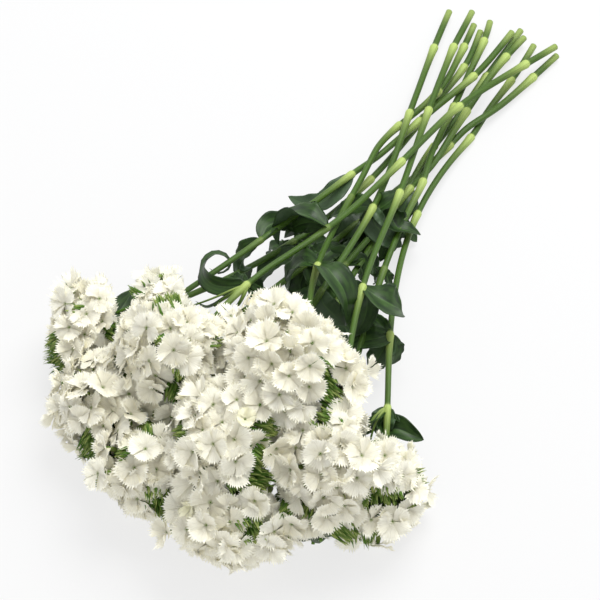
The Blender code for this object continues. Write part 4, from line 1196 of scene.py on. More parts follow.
# Roughness and shine of the finishes
PETAL_ROUGHNESS = 0.62
STALK_ROUGHNESS = 0.42
CALYX_ROUGHNESS = 0.5
LEAF_ROUGHNESS = 0.42
PETAL_SHINE = 0.25
GREEN_SHINE = 0.3


def finished(material, colour, normal, roughness, specular):
    """Gives a material its colour and bump, both sockets, its roughness and its shine."""
    tree = material.node_tree
    shader = tree.nodes["Principled BSDF"]
    link(tree, colour, shader.inputs["Base Color"])
    link(tree, normal, shader.inputs["Normal"])
    shader.inputs["Roughness"].default_value = roughness
    shader.inputs["Specular IOR Level"].default_value = specular
    return material


def petal_finish():
    """Creamy white petals: greener at the throat, streaked along with painted crease shade, given a painted
    highlight at the rim and painted shade over the inner part, and each floret a little its own."""
    colours = bpy.context.scene.bunch_colours
    petal, shade = (*colours.petal, 1), (*colours.petal_shade, 1)
    material, tree, shader = finish_base("petal_white")
    _, out = uv_parts(tree)
    tint = attribute(tree, "tint")
    streaks, normal = grain(tree, *PETAL_GRAIN)
    white = mix_colour(tree, ramp(tree, tint, -1.0, 1.0), petal, (*colours.cream, 1))
    # Painted shade: noise streaks darken the petal towards the shade colour, as if in its radial creases
    streaked = mix_colour(tree, ramp(tree, streaks, 0.42, 0.68, 0.0, 0.5), white, shade)
    # Painted highlight: the rim and teeth are set back to the plain petal white, brighter than the rest, as
    # if catching light
    rim_highlighted = mix_colour(tree, ramp(tree, out, 0.9, 1.06), streaked, petal)
    # Painted shade: the inner part of each petal is darkened halfway towards the shade colour, as under the
    # rims of overlapping petals
    inner = mix_colour(tree, ramp(tree, out, 0.2, 0.85, 0.5, 0.0), rim_highlighted, shade)
    young = mix_colour(tree, ramp(tree, tint, 1.0, YOUNG_TINT), inner, (*colours.young, 1))
    full = mix_colour(tree, ramp(tree, out, 0.0, 0.2, 1.0, 0.0), young, (*colours.throat, 1))
    shader.inputs["Subsurface Weight"].default_value = PETAL_GLOW
    shader.inputs["Subsurface Radius"].default_value = PETAL_GLOW_RADIUS
    shader.inputs["Subsurface Scale"].default_value = PETAL_GLOW_DEPTH
    return finished(material, full, normal, PETAL_ROUGHNESS, PETAL_SHINE)


def green_finish(name, dark, pale, roughness):
    """Waxy green: darker or paler with the tone along the piece, mottled, and ribbed along its length; where
    the tint is set, as on a head's core, painted dark as the shade deep inside the head.
    """
    material, tree, _ = finish_base(name)
    mottle, _ = grain(tree, *GREEN_MOTTLE)
    streaks, normal = grain(tree, *GREEN_GRAIN)
    deep = tuple(c * DEEP_GREEN for c in dark) + (1,)
    light = tuple(c * LIGHT_GREEN for c in dark) + (1,)
    mottled = mix_colour(tree, ramp(tree, mottle, 0.3, 0.7, 0.0, 0.5), (*dark, 1), light)
    toned = mix_colour(tree, ramp(tree, attribute(tree, "tone"), 0.0, 1.0), mottled, (*pale, 1))
    streaked = mix_colour(tree, ramp(tree, streaks, 0.5, 0.7, 0.0, 0.35), toned, deep)
    # Painted shade: where the tint is set, as on a head's core, the green is darkened to the deep green
    full = mix_colour(tree, ramp(tree, attribute(tree, "tint"), 0.0, 1.0), streaked, deep)
    return finished(material, full, normal, roughness, GREEN_SHINE)


def leaf_finish():
    """Dark bluish green leaves with a pale midrib, and a greyer under side."""
    colours = bpy.context.scene.bunch_colours
    material, tree, _ = finish_base("leaf_green")
    across, _ = uv_parts(tree)
    from_rib = node_of(tree, "ShaderNodeMath", operation="SUBTRACT")
    link(tree, across, from_rib.inputs[0])
    from_rib.inputs[1].default_value = 0.5
    width = node_of(tree, "ShaderNodeMath", operation="ABSOLUTE")
    link(tree, from_rib.outputs[0], width.inputs[0])
    rib = ramp(tree, width.outputs[0], 0.0, 0.03, 0.7, 0.0)
    mottle, _ = grain(tree, *LEAF_MOTTLE)
    _, normal = grain(tree, *LEAF_GRAIN)
    upper = mix_colour(tree, ramp(tree, mottle, 0.3, 0.7), (*colours.leaf, 1), (*colours.leaf_light, 1))
    side = mix_colour(tree, attribute(tree, "tone"), upper, (*colours.leaf_under, 1))
    greyed = mix_colour(tree, attribute(tree, "tint"), side, (*colours.leaf_under, 1))
    full = mix_colour(tree, rib, greyed, (*colours.leaf_rib, 1))
    return finished(material, full, normal, LEAF_ROUGHNESS, GREEN_SHINE)


# Sizes and colours that a user can change


def linear(red, green, blue):
    """A colour given as it shows on a screen, from 0 to 255, in linear light."""
    share = np.array([red, green, blue]) / 255
    return tuple(np.where(share <= 0.04045, share / 12.92, ((share + 0.055) / 1.055) ** 2.4).tolist())


def colour_property(name, description, screen):
    """A colour that a user can change, given as it shows on a screen."""
    return bpy.props.FloatVectorProperty(
        name=name, description=description, subtype="COLOR", size=3, min=0, max=1, default=linear(*screen)
    )


def number_property(name, description, default, **more):
    """A number that a user can change, with its limits and subtype where it has them."""
    return bpy.props.FloatProperty(name=name, description=description, default=default, **more)


class BunchColours(bpy.types.PropertyGroup):
    """The colours of the bunch"""

    petal: colour_property("Petal", "White of the petals", (255, 252, 233))
    cream: colour_property("Cream", "Warmer white of some florets", (253, 248, 222))
    # Painted shade: the colour that the petal streaks and the inner part of each petal are darkened towards
    petal_shade: colour_property("Petal streak", "Streaks along the petals", (226, 220, 196))
    young: colour_property("Young petal", "Yellowish white of half open florets", (250, 247, 212))
    throat: colour_property("Throat", "Green at the middle of a floret", (176, 180, 132))
    stalk: colour_property("Stalk", "Green of the stalks", (56, 84, 20))
    joint: colour_property("Joint", "Pale green of the joints", (170, 190, 104))
    leaf: colour_property("Leaf", "Green of the leaves' upper side", (26, 46, 20))
    leaf_light: colour_property("Leaf light", "Lighter patches of the leaves", (54, 82, 34))
    leaf_under: colour_property("Leaf under", "Greyish green of the leaves' under side", (64, 86, 58))
    leaf_rib: colour_property("Midrib", "Pale green of the leaves' midribs", (74, 104, 52))
    calyx: colour_property("Calyx", "Green of the calyx tubes", (68, 106, 26))
    calyx_pale: colour_property("Awn tip", "Paler green of the bracts' awns", (176, 188, 108))


class BunchStalks(bpy.types.PropertyGroup):
    """The sizes of the stalks"""

    foot_radius: number_property("Foot radius", "Radius at the cut end, in millimetres", 2.85)
    neck_radius: number_property("Neck radius", "Radius under the head, in millimetres", 2.15)
    joint_swell: number_property("Joint swelling", "Radius at a joint over the radius beside it", 1.42)
    swell_length: number_property("Swelling length", "Length in which a joint thins, in millimetres", 12.0)
    pale_length: number_property("Pale length", "Length in which a joint's pale green fades", 17.0)
    ring_step: number_property("Ring step", "Distance between the rings of a stalk, in millimetres", 2.0)
    sides: bpy.props.IntProperty(name="Sides", description="Sides of a stalk", default=14, min=6)


class BunchLeaves(bpy.types.PropertyGroup):
    """The sizes of the leaves"""

    rows: bpy.props.IntProperty(name="Rows", description="Rows of faces along a leaf", default=26, min=4)
    columns: bpy.props.IntProperty(name="Columns", description="Points across a leaf", default=15, min=5)
    thickness: number_property("Thickness", "Thickness of a leaf, in millimetres", 0.7)
    rib: number_property("Midrib", "Depth of the midrib under the leaf, in millimetres", 0.8)


# What a share's property has besides its name, description and default
SHARE = {"min": 0, "max": 1, "subtype": "FACTOR"}


class BunchHeads(bpy.types.PropertyGroup):
    """The sizes of the flower heads, in millimetres"""

    softness: number_property("Softness", "How softly the domes run into each other", 7.0)
    lowest: number_property("Lowest floret", "Least height of a floret's middle", 7.0)
    floret_radius: number_property("Floret radius", "Length of a petal", 12.1)
    area: number_property("Floret area", "Area of dome for each floret, in square millimetres", 262.0)
    lower_area: number_property("Lower area", "Area for each floret of the lower layer", 440.0)
    lower_depth: number_property("Lower depth", "Depth of the lower layer", 9.0)
    half_open: number_property("Half open", "Share of florets still half closed", 0.0, **SHARE)
    bare_margin: number_property("Bare margin", "How far lower florets keep off a gap", 7.0, subtype="PIXEL")
    bare_push: number_property("Bare push", "How far florets are moved off a gap", 11.0, subtype="PIXEL")
    forward: number_property("Forward", "How far florets turn to their head's axis", 0.42, **SHARE)
    crowding: number_property("Crowding", "Least distance between two florets of a layer", 8.0)
    missing: number_property("Missing", "Share of the florets that are left out", 0.03, **SHARE)


# Where the florets stand

# The two layers of florets: the depth of the upper one, then for each layer the least and greatest height
# of a floret over its depth, its size as a share of the full one, and the seed of its spread
UPPER_DEPTH = 1.8
LAYERS = {"upper": (-4.5, 2.2, 1.0, 7), "lower": (-2.5, 1.5, 0.92, 8)}
PLAN_SEED = 41

# How much a floret's way strays, how far under the lowest height it may come, how near a gap counts, and
# the share of a gap that florets keep out of
WAY_SPREAD = 0.3
LOWEST_UNDER = 3
NEAR_GAP = 30
GAP_SHARE = 0.9

# A floret's size as a share of its layer's, least and greatest, and a half open one's; its slope's middle
# and spread, and a half open one's least and greatest; and the tint that marks it as half open
SIZE_SHARES = (0.88, 1.04)
YOUNG_SIZE = 0.62
OPEN_SLOPE = (0.14, 0.19)
YOUNG_SLOPE = (0.9, 1.9)
YOUNG_TINT = 3.0


def off_the_gaps(spots, ways, reach, margin):
    """Florets moved straight away from the photograph's gaps until they reach into none, and which of them
    stand in a gap, or nearer to it than the margin."""
    inside = np.zeros(len(spots), bool)
    push = bpy.context.scene.bunch_heads.bare_push
    for across, down, radius in BARE_SPOTS:
        spot, _ = dome_point(across, down)
        near = np.linalg.norm(spots - spot, axis=1) < NEAR_GAP + radius
        apart = photo_pixel(spots) - (across, down)
        far = np.linalg.norm(apart, axis=1)
        inside |= near & (far < radius + margin)
        away = apart / (far[:, None] + TINY)
        short = radius * GAP_SHARE + seen_reach(ways, reach, away) - far
        spots = moved(spots, away * (np.clip(short, 0, push) * near)[:, None])
    return spots, inside


def plan_heads():
    """Where every floret of the bunch stands: spots, ways, owners, sizes, slopes and tints of the upper
    layer and of the lower one."""
    heads = bpy.context.scene.bunch_heads
    rng = np.random.default_rng(PLAN_SEED)
    plan = {}
    for layer, (low, high, size, seed) in LAYERS.items():
        is_upper = layer == "upper"
        area = heads.area if is_upper else heads.lower_area
        spots, ways, owners = dome_spots(area, UPPER_DEPTH if is_upper else heads.lower_depth, seed)
        spots = spots + ways * spread_heights(spots, low, high, rng)[:, None]
        spots[:, 2] = np.maximum(spots[:, 2], heads.lowest - LOWEST_UNDER)
        stray = rng.normal(0, WAY_SPREAD, (len(spots), 3))
        ways = unit(ways + heads.forward * HEAD_AXES[owners] + stray)
        reach = np.full(len(spots), heads.floret_radius * size)
        left_out = rng.uniform(0, 1, len(spots)) < heads.missing
        spots, inside = off_the_gaps(spots, ways, reach, 0 if is_upper else heads.bare_margin)
        keep = ~(left_out | inside)
        spots, ways, owners, reach = spots[keep], ways[keep], owners[keep], reach[keep]
        if is_upper:
            found = [dome_point(*spot) for spot in EXTRA_SPOTS]
            extra = np.array([spot for spot, _ in found])
            spots, ways = np.vstack([spots, extra]), np.vstack([ways, [way for _, way in found]])
            owners = np.r_[owners, owners_of(extra)]
            reach = np.r_[reach, np.full(len(extra), heads.floret_radius)]
        spots = kept_in_outline(spots, ways, reach)
        if is_upper:
            spots = drawn_to_outline(spots, ways, reach)
        distance = np.linalg.norm(spots[:, None] - spots[None], axis=2)
        apart = ~np.triu(distance < heads.crowding, 1).any(axis=0)
        spots, ways, owners = spots[apart], ways[apart], owners[apart]
        count = len(spots)
        young = rng.uniform(0, 1, count) < heads.half_open
        if is_upper:
            for across, down in HALF_OPEN_SPOTS:
                spot, _ = dome_point(across, down)
                young[np.linalg.norm(spots - spot, axis=1).argmin()] = True
        full = heads.floret_radius * size
        plan[layer] = {
            "spots": spots,
            "ways": ways,
            "owners": owners,
            "sizes": full * np.where(young, YOUNG_SIZE, rng.uniform(*SIZE_SHARES, count)),
            "opens": np.where(young, rng.uniform(*YOUNG_SLOPE, count), rng.normal(*OPEN_SLOPE, count)),
            "tints": np.where(young, YOUNG_TINT, rng.uniform(-1, 1, count)),
        }
    return plan


# Operators

# The seeds of the heads' random draws, each with the head's number added
CALYX_SEED = 500
RAY_SEED = 900
FLORET_SEED = 700


class AddStalks(bpy.types.Operator):
    """Adds the eleven stalks with their swollen joints"""

    bl_idname = "bunch.add_stalks"
    bl_label = "Add stalks"

    def execute(self, context):
        """Makes each stalk as a tube along its path, with its side shoots."""
        colours = context.scene.bunch_colours
        finish = green_finish("stalk_green", colours.stalk, colours.joint, STALK_ROUGHNESS)
        for number in range(len(STEMS)):
            name = f"stalk_{number + 1:02d}"
            new_piece(name, stalk(number), finish, f"stem_{number + 1:02d}")
        return {"FINISHED"}


class AddLeaves(bpy.types.Operator):
    """Adds the curled leaves at the joints"""

    bl_idname = "bunch.add_leaves"
    bl_label = "Add leaves"

    def execute(self, context):
        """Makes the leaves of each stem as one piece."""
        finish = leaf_finish()
        for number in range(len(STEMS)):
            shapes = [photo_leaf(row) for row in PHOTO_LEAVES if row[0] == number]
            if shapes:
                name = f"leaves_{number + 1:02d}"
                new_piece(name, merged(shapes), finish, f"stem_{number + 1:02d}")
        return {"FINISHED"}


# Green parts of the heads

# A calyx tube: how far short of the head's middle it ends, its greatest length, how far it stays under
# its floret, how far back its bow is drawn, its least height and its sides; then its radius and paleness
# along it
CALYX_SHORT = 4
CALYX_LENGTH = 24
CALYX_UNDER = 1.1
CALYX_BOW = 9
CALYX_LOWEST = 2.2
CALYX_SIDES = 6
CALYX_RADII = (0.9, 1.6, 2.0, 1.9, 1.5)
CALYX_PALES = (0.0, 0.1, 0.3, 0.5, 0.15)


def calyx_tubes(layer, number):
    """A green tube under each floret: from its throat back towards the head's core, widest in its
    middle."""
    mine = layer["owners"] == number
    spots, ways = layer["spots"][mine], layer["ways"][mine]
    inward = HEAD_CENTRES[number] - spots
    length = np.linalg.norm(inward, axis=1)[:, None]
    root = spots + inward / length * np.minimum(length - CALYX_SHORT, CALYX_LENGTH)
    top = spots - ways * CALYX_UNDER
    paths = bowed(root, top - ways * CALYX_BOW, top, len(CALYX_RADII))
    paths[..., 2] = np.maximum(paths[..., 2], CALYX_LOWEST)
    radii, tone = np.tile(CALYX_RADII, (len(spots), 1)), np.tile(CALYX_PALES, (len(spots), 1))
    return tubes(paths, radii, CALYX_SIDES, tone)


# The bracts' blades: radius along one of a bundle, over its own width, and along an awn; the paleness of
# both; their sides, flatness and least height; and how much one of a bundle strays, bends, and is bowed
# upwards
BLADE_RADII = np.array([0.9, 1.1, 1.1, 0.9, 0.5, 0.12])
AWN_RADII = (1.0, 1.1, 0.95, 0.7, 0.42, 0.1)
BLADE_PALES = np.array([0.0, 0.05, 0.15, 0.35, 0.7, 1.0])
BLADE_SIDES = 4
BLADE_FLAT = 0.5
BLADE_LOWEST = 1.5
BLADE_STRAY = 0.10
BLADE_BEND = 1.0
BLADE_LIFT = (0, 0, 0.8)

# Bare spots and bristle spots: blades for each pixel of their radius, the share of a bare spot's radius
# that they fill, the least and greatest radius and length of a blade, and how far over and under the dome
# tips end. In a bare spot a blade leans by shares of the dome's way out and of the level way out, and a
# little down.
TUFT_COUNT = 9
TUFT_SHARE = 0.9
TUFT_WIDTHS = (0.9, 1.5)
TUFT_LENGTHS = (13, 19)
TUFT_DEPTHS = (-1.5, 6)
TUFT_RISE = 0.75
TUFT_OUT = 0.7
TUFT_DROP = (0, 0, 0.12)
BRISTLE_COUNT = 5
BRISTLE_WIDTHS = (0.35, 0.8)
BRISTLE_LENGTHS = (11, 17)
BRISTLE_STRAY = 0.15


def bundle(tip, lean, wide, reach, rng):
    """Pointed blades that stand side by side: from its root to its tip each is a bow that bends a little
    out of its lean, thickest in its middle, and paler towards its tip."""
    count = len(tip)
    root = tip - unit(lean + rng.normal(0, BLADE_STRAY, (count, 3))) * reach
    bow = (root + tip) / 2 + rng.normal(0, BLADE_BEND, (count, 3)) + BLADE_LIFT
    paths = bowed(root, bow, tip, len(BLADE_RADII))
    paths[..., 2] = np.maximum(paths[..., 2], BLADE_LOWEST)
    tone = rng.uniform(0.1, 1.0, (count, 1)) * BLADE_PALES
    return tubes(paths, wide * BLADE_RADII, BLADE_SIDES, tone, flat=BLADE_FLAT)


def tufts(number, rng):
    """The crowded bracts seen in the bare spots: blades side by side, all leaning outwards from the head
    and up towards the dome, and the bristles that stand out past the florets."""
    shapes = []
    for across, down, radius in BARE_SPOTS:
        spot, way = dome_point(across, down)
        if owners_of(spot[None])[0] != number:
            continue
        outward = spot - HEAD_CENTRES[number]
        level = unit(outward * [1, 1, 0] + way * 0.01)
        lean = TUFT_RISE * way + TUFT_OUT * level - TUFT_DROP
        count = TUFT_COUNT * radius
        side, other = square_to(way)
        place = rng.uniform(-1, 1, (count, 2)) * radius * TUFT_SHARE
        deep = rng.uniform(*TUFT_DEPTHS, (count, 1))
        tip = spot - way * deep + place[:, :1] * side + place[:, 1:] * other
        wide = rng.uniform(*TUFT_WIDTHS, (count, 1))
        shapes.append(bundle(tip, lean, wide, rng.uniform(*TUFT_LENGTHS, (count, 1)), rng))
    for across, down, radius, out in BRISTLE_SPOTS:
        spot, _ = dome_point(across, down)
        if owners_of(spot[None])[0] != number:
            continue
        count = BRISTLE_COUNT * radius
        aside = out[0] * CAMERA_RIGHT - out[1] * CAMERA_UP
        place = rng.uniform(-1, 1, (count, 2)) * radius
        deep = rng.uniform(-BRISTLE_DEPTH, BRISTLE_DEPTH, (count, 1)) * CAMERA_BACK
        tip = moved(spot, place) - CAMERA_BACK * BRISTLE_DEPTH + deep
        lean = aside + rng.normal(0, BRISTLE_STRAY, (count, 3))
        wide = rng.uniform(*BRISTLE_WIDTHS, (count, 1))
        shapes.append(bundle(tip, lean, wide, rng.uniform(*BRISTLE_LENGTHS, (count, 1)), rng))
    return shapes


# The awns: how many for each millimetre of the dome's radius, how far past the florets' edge and how near
# to the axis they stand, and, as shares of that radius, how far out they start and how long they are.
# Then how much they stray, how much they turn to the axis, and how far they are bowed out and back.
AWN_COUNT = 2.3
AWN_OVER = 0.15
AWN_INNER = radians(48)
AWN_ROOT = 0.62
AWN_LENGTHS = (0.24, 0.36)
AWN_STRAY = 0.16
AWN_FORWARD = 0.25
AWN_BOW = 1.5
AWN_BACK = 1.0


def awns(number, rng):
    """The bristly bracts round a head: flat blades that taper from the calyx tubes out between the
    florets, most of them round the edge of the dome, each bowed a little outwards."""
    axis, centre, radius = HEAD_AXES[number], HEAD_CENTRES[number], DOME_RADII[number]
    count = int(AWN_COUNT * radius)
    lean = np.arccos(rng.uniform(cos(HEAD_ANGLE + AWN_OVER), cos(AWN_INNER), count))
    way = round_axis(axis, lean, rng.uniform(0, 2 * pi, count))
    root = centre + way * radius * AWN_ROOT
    reach = rng.uniform(*AWN_LENGTHS, count)[:, None] * radius
    stray = rng.normal(0, AWN_STRAY, (count, 3))
    tip = root + unit(way + stray + axis * AWN_FORWARD) * reach
    paths = bowed(root, (root + tip) / 2 + way * AWN_BOW - axis * AWN_BACK, tip, len(AWN_RADII))
    outside, _ = dome_depth(tip)
    clear = (owners_of(tip) == number) & (outside < 0) & (paths[..., 2].min(axis=1) > BLADE_LOWEST)
    clear &= outline_depth(photo_pixel(tip))[0] > AWN_MARGIN
    paths = paths[clear]
    radii, tone = np.tile(AWN_RADII, (len(paths), 1)), np.tile(BLADE_PALES, (len(paths), 1))
    return tubes(paths, radii, BLADE_SIDES, tone, flat=BLADE_FLAT)


# The flower stalks inside a head: their number, how far they spread from the axis, how far out they end
# as a share of the head's radius, the radius at their two ends, their sides, and their paleness along
# them. Their bow is drawn up from the neck by a share of the head's radius, and out by a share of the way
# to their end.
BRANCH_COUNT = 14
BRANCH_REACH = radians(104)
BRANCH_END = 0.60
BRANCH_RADII = (1.9, 1.3)
BRANCH_SIDES = 7
BRANCH_RISE = 0.28
BRANCH_SPREAD = 0.25
BRANCH_PALES = (0.5, 0.3, 0.15, 0.1, 0.1, 0.1, 0.2)


def branches(number, rng):
    """The flower stalks inside a head: tubes that fan out from the stem's neck to the calyx tubes, by a
    sunflower spiral round the head's axis."""
    axis, centre, radius = HEAD_AXES[number], HEAD_CENTRES[number], HEAD_RADII[number]
    neck = centre - axis * radius * NECK_DROP
    way = round_axis(axis, *sunflower(BRANCH_COUNT, BRANCH_REACH, rng.uniform(0, 6)))
    end = centre + way * radius * BRANCH_END
    bow = neck + axis * radius * BRANCH_RISE + (end - centre) * BRANCH_SPREAD
    paths = bowed(neck[None], bow, end, len(BRANCH_PALES))
    radii = np.tile(np.linspace(*BRANCH_RADII, len(BRANCH_PALES)), (BRANCH_COUNT, 1))
    return tubes(paths, radii, BRANCH_SIDES, np.tile(BRANCH_PALES, (BRANCH_COUNT, 1)))


# The core of a head: rows and columns of its grid, how near its poles the grid starts, its radius as a
# share of the head's, how much flatter it is behind, the height of its ribs and bumps, and its least
# height
CORE_GRID = (15, 40)
CORE_POLE = 0.02
CORE_REACH = 0.55
CORE_FLATTER = 0.35
CORE_RIBS = 0.05
CORE_BUMPS = 0.04
CORE_LOWEST = 1.5


def core(number):
    """The crowded middle of a head: a ball on a grid of lean and turn, flatter behind, with ribs round it
    as tubes stand. Its radius is a share of the head's, times one plus two small waves of the lean and
    turn."""
    centre, axis, radius = HEAD_CENTRES[number], HEAD_AXES[number], HEAD_RADII[number]
    rows, columns = CORE_GRID
    lean = np.linspace(CORE_POLE, pi - CORE_POLE, rows)[:, None]
    turn = np.linspace(0, 2 * pi, columns, endpoint=False)[None]
    ribs = CORE_RIBS * np.sin(9 * turn + 4 * lean) * np.sin(lean)
    bumps = 1 + ribs + CORE_BUMPS * np.cos(7 * lean + 3 * turn)
    behind = np.where(lean > pi / 2, 1 - CORE_FLATTER * (lean / (pi / 2) - 1) ** 2, 1.0)
    reach = radius * CORE_REACH * bumps * behind
    skin = centre + round_axis(axis, lean, turn) * reach[..., None]
    ends = np.stack([skin[0].mean(0), skin[-1].mean(0)])
    points = np.vstack([skin.reshape(-1, 3), ends])
    points[:, 2] = np.maximum(points[:, 2], CORE_LOWEST)
    ring = np.arange(columns)
    after = (ring + 1) % columns
    last = (rows - 1) * columns
    caps = np.vstack([
        np.stack([np.full(columns, rows * columns), ring, after], -1),
        np.stack([np.full(columns, rows * columns + 1), last + after, last + ring], -1),
    ])
    faces = grid_faces(rows, columns, wrapped=True)[:, ::-1]
    share_round, share_back = np.linspace(0, 1, columns), np.linspace(0, 1, rows)
    uv = np.column_stack([np.tile(share_round, rows), np.repeat(share_back, columns)])
    return {
        "points": points,
        "faces": [faces, caps],
        "uv": np.vstack([uv, [[0.5, 0], [0.5, 1]]]),
        "tone": np.zeros(len(points)),
        # The tint of one has the green finish paint the core dark, as the shade deep inside the head
        "tint": np.ones(len(points)),
    }


# The flower stalks at the back of a head: how many for each millimetre of its radius, their rings and
# sides, how far from straight back they start, how far from the axis they end, and their least height.
# Then, each as shares of the length and values there: how far out they are as a share of the radius, how
# thick, and how pale.
RAY_COUNT = 1.15
RAY_RINGS = 9
RAY_SIDES = 6
RAY_START = 0.12
RAY_END = radians(74)
RAY_LOWEST = 2.6
RAY_REACH = ((0, 0.35, 0.75, 1), (0.50, 0.60, 0.66, 0.71))
RAY_RADII = ((0, 0.3, 0.6, 0.85, 1), (0.8, 1.1, 1.9, 2.3, 1.6))
RAY_PALES = ((0, 0.2, 0.6, 1), (0.3, 0.05, 0.0, 0.35))

# What differs from one to the next, least and greatest: its turn as a share of its room, how far from the
# axis it ends, its height, width and paleness, and how much it twists
RAY_TURNS = (-0.35, 0.35)
RAY_ENDS = (-0.22, 0.2)
RAY_HEIGHTS = (-1.2, 1.6)
RAY_WIDTHS = (0.85, 1.15)
RAY_TONES = (0.0, 0.35)
RAY_TWIST = 0.10


def rays(number, rng):
    """The green back of a head: flower stalks that spread from the neck over the core, side by side, each
    thin at the neck and as thick as a calyx tube where it leaves the core towards the florets."""
    centre, axis, radius = HEAD_CENTRES[number], HEAD_AXES[number], HEAD_RADII[number]
    count = int(RAY_COUNT * radius)
    turn = (np.arange(count) + rng.uniform(*RAY_TURNS, count)) * 2 * pi / count
    end = RAY_END + rng.uniform(*RAY_ENDS, count)
    share = np.linspace(0, 1, RAY_RINGS)
    lean = pi - RAY_START - share * (pi - RAY_START - end[:, None])
    reach = radius * np.interp(share, *RAY_REACH)
    twist = turn[:, None] + share * rng.normal(0, RAY_TWIST, (count, 1))
    out = reach + rng.uniform(*RAY_HEIGHTS, (count, 1))
    paths = centre + round_axis(axis, lean, twist) * out[..., None]
    paths[..., 2] = np.maximum(paths[..., 2], RAY_LOWEST)
    outer = paths[:, RAY_RINGS // 2 :]
    depth, _ = outline_depth(photo_pixel(outer.reshape(-1, 3)))
    clear = depth.reshape(outer.shape[:2]).min(axis=1) > RAY_MARGIN
    radii = rng.uniform(*RAY_WIDTHS, (count, 1)) * np.interp(share, *RAY_RADII)
    tone = rng.uniform(*RAY_TONES, (count, 1)) + np.interp(share, *RAY_PALES)
    return tubes(paths[clear], radii[clear], RAY_SIDES, tone[clear])


class AddCalyxes(bpy.types.Operator):
    """Adds the green parts of the heads: flower stalks, calyx tubes and bristly bracts"""

    bl_idname = "bunch.add_calyxes"
    bl_label = "Add calyxes and bracts"

    def execute(self, context):
        """Makes the green parts of each head as one piece, from the core outwards."""
        colours = context.scene.bunch_colours
        finish = green_finish("calyx_green", colours.calyx, colours.calyx_pale, CALYX_ROUGHNESS)
        plan = plan_heads()
        for number in range(len(STEMS)):
            rng = np.random.default_rng(CALYX_SEED + number)
            shapes = [core(number), branches(number, rng), awns(number, rng), *tufts(number, rng)]
            shapes.append(rays(number, np.random.default_rng(RAY_SEED + number)))
            shapes += [calyx_tubes(layer, number) for layer in plan.values()]
            name = f"calyxes_{number + 1:02d}"
            new_piece(name, merged(shapes), finish, f"stem_{number + 1:02d}")
        return {"FINISHED"}


class AddFlorets(bpy.types.Operator):
    """Adds the toothed white florets of the heads, in two layers"""

    bl_idname = "bunch.add_florets"
    bl_label = "Add florets"

    def execute(self, context):
        """Makes the florets of each head as one piece, pressed flat where they touch the surface."""
        finish = petal_finish()
        plan = plan_heads()
        for number in range(len(STEMS)):
            rng = np.random.default_rng(FLORET_SEED + number)
            shapes = []
            for layer in plan.values():
                mine = layer["owners"] == number
                settings = (layer[key][mine] for key in ("spots", "ways", "sizes", "opens", "tints"))
                shapes.append(florets(*settings, rng))
            shape = merged(shapes)
            shape["points"] = pressed(shape["points"])
            sharp = shape.pop("sharp")
            name = f"florets_{number + 1:02d}"
            new_piece(name, shape, finish, f"flowers_{number + 1:02d}", sharp)
        return {"FINISHED"}


# Stage

# The stage, in metres: the floor's half width, grey and glow, the sky, and each lamp's name, place, width
# and power. The floor is a grey that also glows, so that it is as pale as the photograph's with soft
# shadows on it.
FLOOR_REACH = 6.0
FLOOR_GREY = 0.17
FLOOR_GLOW = 0.72
SKY_COLOUR = (0.97, 0.98, 1.0, 1)
SKY_STRENGTH = 0.72
LAMPS = (
    ("key", (-0.05, 1.0, 2.0), 1.4, 52.0),
    ("fill", (1.3, -1.3, 1.7), 2.0, 6.0),
)
LAMP_AIM = (0, -0.1, 0.05)
CAMERA_FAR = 50


def add_floor(scene):
    """A pale square that the bunch lies on."""
    mesh = bpy.data.meshes.new("floor")
    corners = [(-FLOOR_REACH, -FLOOR_REACH, 0), (FLOOR_REACH, -FLOOR_REACH, 0)]
    corners += [(FLOOR_REACH, FLOOR_REACH, 0), (-FLOOR_REACH, FLOOR_REACH, 0)]
    mesh.from_pydata(corners, [], [(0, 1, 2, 3)])
    floor = bpy.data.objects.new("floor", mesh)
    scene.collection.objects.link(floor)
    material, _, shader = finish_base("floor_white")
    shader.inputs["Base Color"].default_value = (FLOOR_GREY, FLOOR_GREY, FLOOR_GREY, 1)
    shader.inputs["Roughness"].default_value = 0.9
    shader.inputs["Specular IOR Level"].default_value = 0.1
    shader.inputs["Emission Color"].default_value = (1, 1, 1, 1)
    shader.inputs["Emission Strength"].default_value = FLOOR_GLOW
    mesh.materials.append(material)


def add_camera(scene):
    """The camera at the photograph's angle: its target plus its distance straight back."""
    camera = bpy.data.cameras.new("camera")
    camera.lens = CAMERA_FOCUS / PHOTO_SIZE * SENSOR_WIDTH
    camera.sensor_width = SENSOR_WIDTH
    camera.clip_end = CAMERA_FAR
    eye = bpy.data.objects.new("camera", camera)
    back = Vector(CAMERA_BACK)
    eye.location = Vector((CAMERA_TARGET + CENTRING) * MM) + back * CAMERA_DISTANCE * MM
    eye.rotation_euler = (-back).to_track_quat("-Z", "Y").to_euler()
    scene.collection.objects.link(eye)
    scene.camera = eye


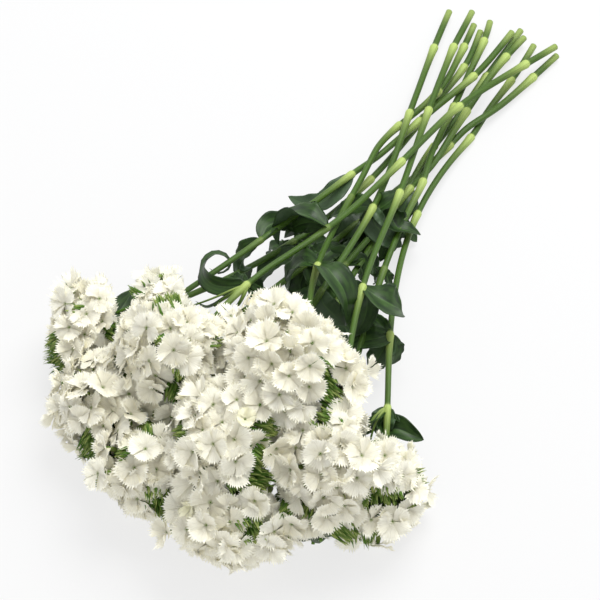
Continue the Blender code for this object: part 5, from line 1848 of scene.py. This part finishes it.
class AddStage(bpy.types.Operator):
    """Adds the pale floor, the soft light and the camera at the photograph's angle"""

    bl_idname = "bunch.add_stage"
    bl_label = "Add stage"

    def execute(self, context):
        """Makes the floor, the sky, the two lamps and the camera."""
        scene = context.scene
        add_floor(scene)
        world = bpy.data.worlds.new("studio")
        world.use_nodes = True
        sky = world.node_tree.nodes["Background"]
        sky.inputs["Color"].default_value = SKY_COLOUR
        sky.inputs["Strength"].default_value = SKY_STRENGTH
        scene.world = world
        for name, place, size, power in LAMPS:
            light = bpy.data.lights.new(name, "AREA")
            light.size = size
            light.energy = power
            lamp = bpy.data.objects.new(name, light)
            lamp.location = place
            lamp.rotation_euler = (Vector(LAMP_AIM) - Vector(place)).to_track_quat("-Z", "Y").to_euler()
            scene.collection.objects.link(lamp)
        add_camera(scene)
        scene.view_settings.view_transform = "Standard"
        return {"FINISHED"}


class BunchPanel(bpy.types.Panel):
    """The bunch's pieces and sizes"""

    bl_idname = "VIEW3D_PT_bunch"
    bl_label = "Sweet william bunch"
    bl_space_type = "VIEW_3D"
    bl_region_type = "UI"
    bl_category = "Bunch"

    def draw(self, context):
        """Lists a button for each group of pieces, and then every colour and size."""
        layout = self.layout
        for operator in OPERATORS:
            layout.operator(operator.bl_idname)
        for group in PROPERTY_GROUPS:
            settings = getattr(context.scene, group)
            for key in settings.bl_rna.properties.keys():
                if key not in ("rna_type", "name"):
                    layout.prop(settings, key)


OPERATORS = (AddStalks, AddLeaves, AddCalyxes, AddFlorets, AddStage)
PROPERTY_GROUPS = {
    "bunch_colours": BunchColours,
    "bunch_stalks": BunchStalks,
    "bunch_leaves": BunchLeaves,
    "bunch_heads": BunchHeads,
}


def register():
    """Adds the property groups, the operators and the panel to Blender."""
    for group in PROPERTY_GROUPS.values():
        bpy.utils.register_class(group)
    for key, group in PROPERTY_GROUPS.items():
        setattr(bpy.types.Scene, key, bpy.props.PointerProperty(type=group))
    for kind in (*OPERATORS, BunchPanel):
        bpy.utils.register_class(kind)


def unregister():
    """Takes them out again, in the opposite order."""
    for kind in (BunchPanel, *reversed(OPERATORS)):
        bpy.utils.unregister_class(kind)
    for key, group in PROPERTY_GROUPS.items():
        delattr(bpy.types.Scene, key)
        bpy.utils.unregister_class(group)


def main():
    """Adds every group of pieces and the stage."""
    register()
    bpy.ops.bunch.add_stalks()
    bpy.ops.bunch.add_leaves()
    bpy.ops.bunch.add_calyxes()
    bpy.ops.bunch.add_florets()
    bpy.ops.bunch.add_stage()


if __name__ == "__main__":
    main()
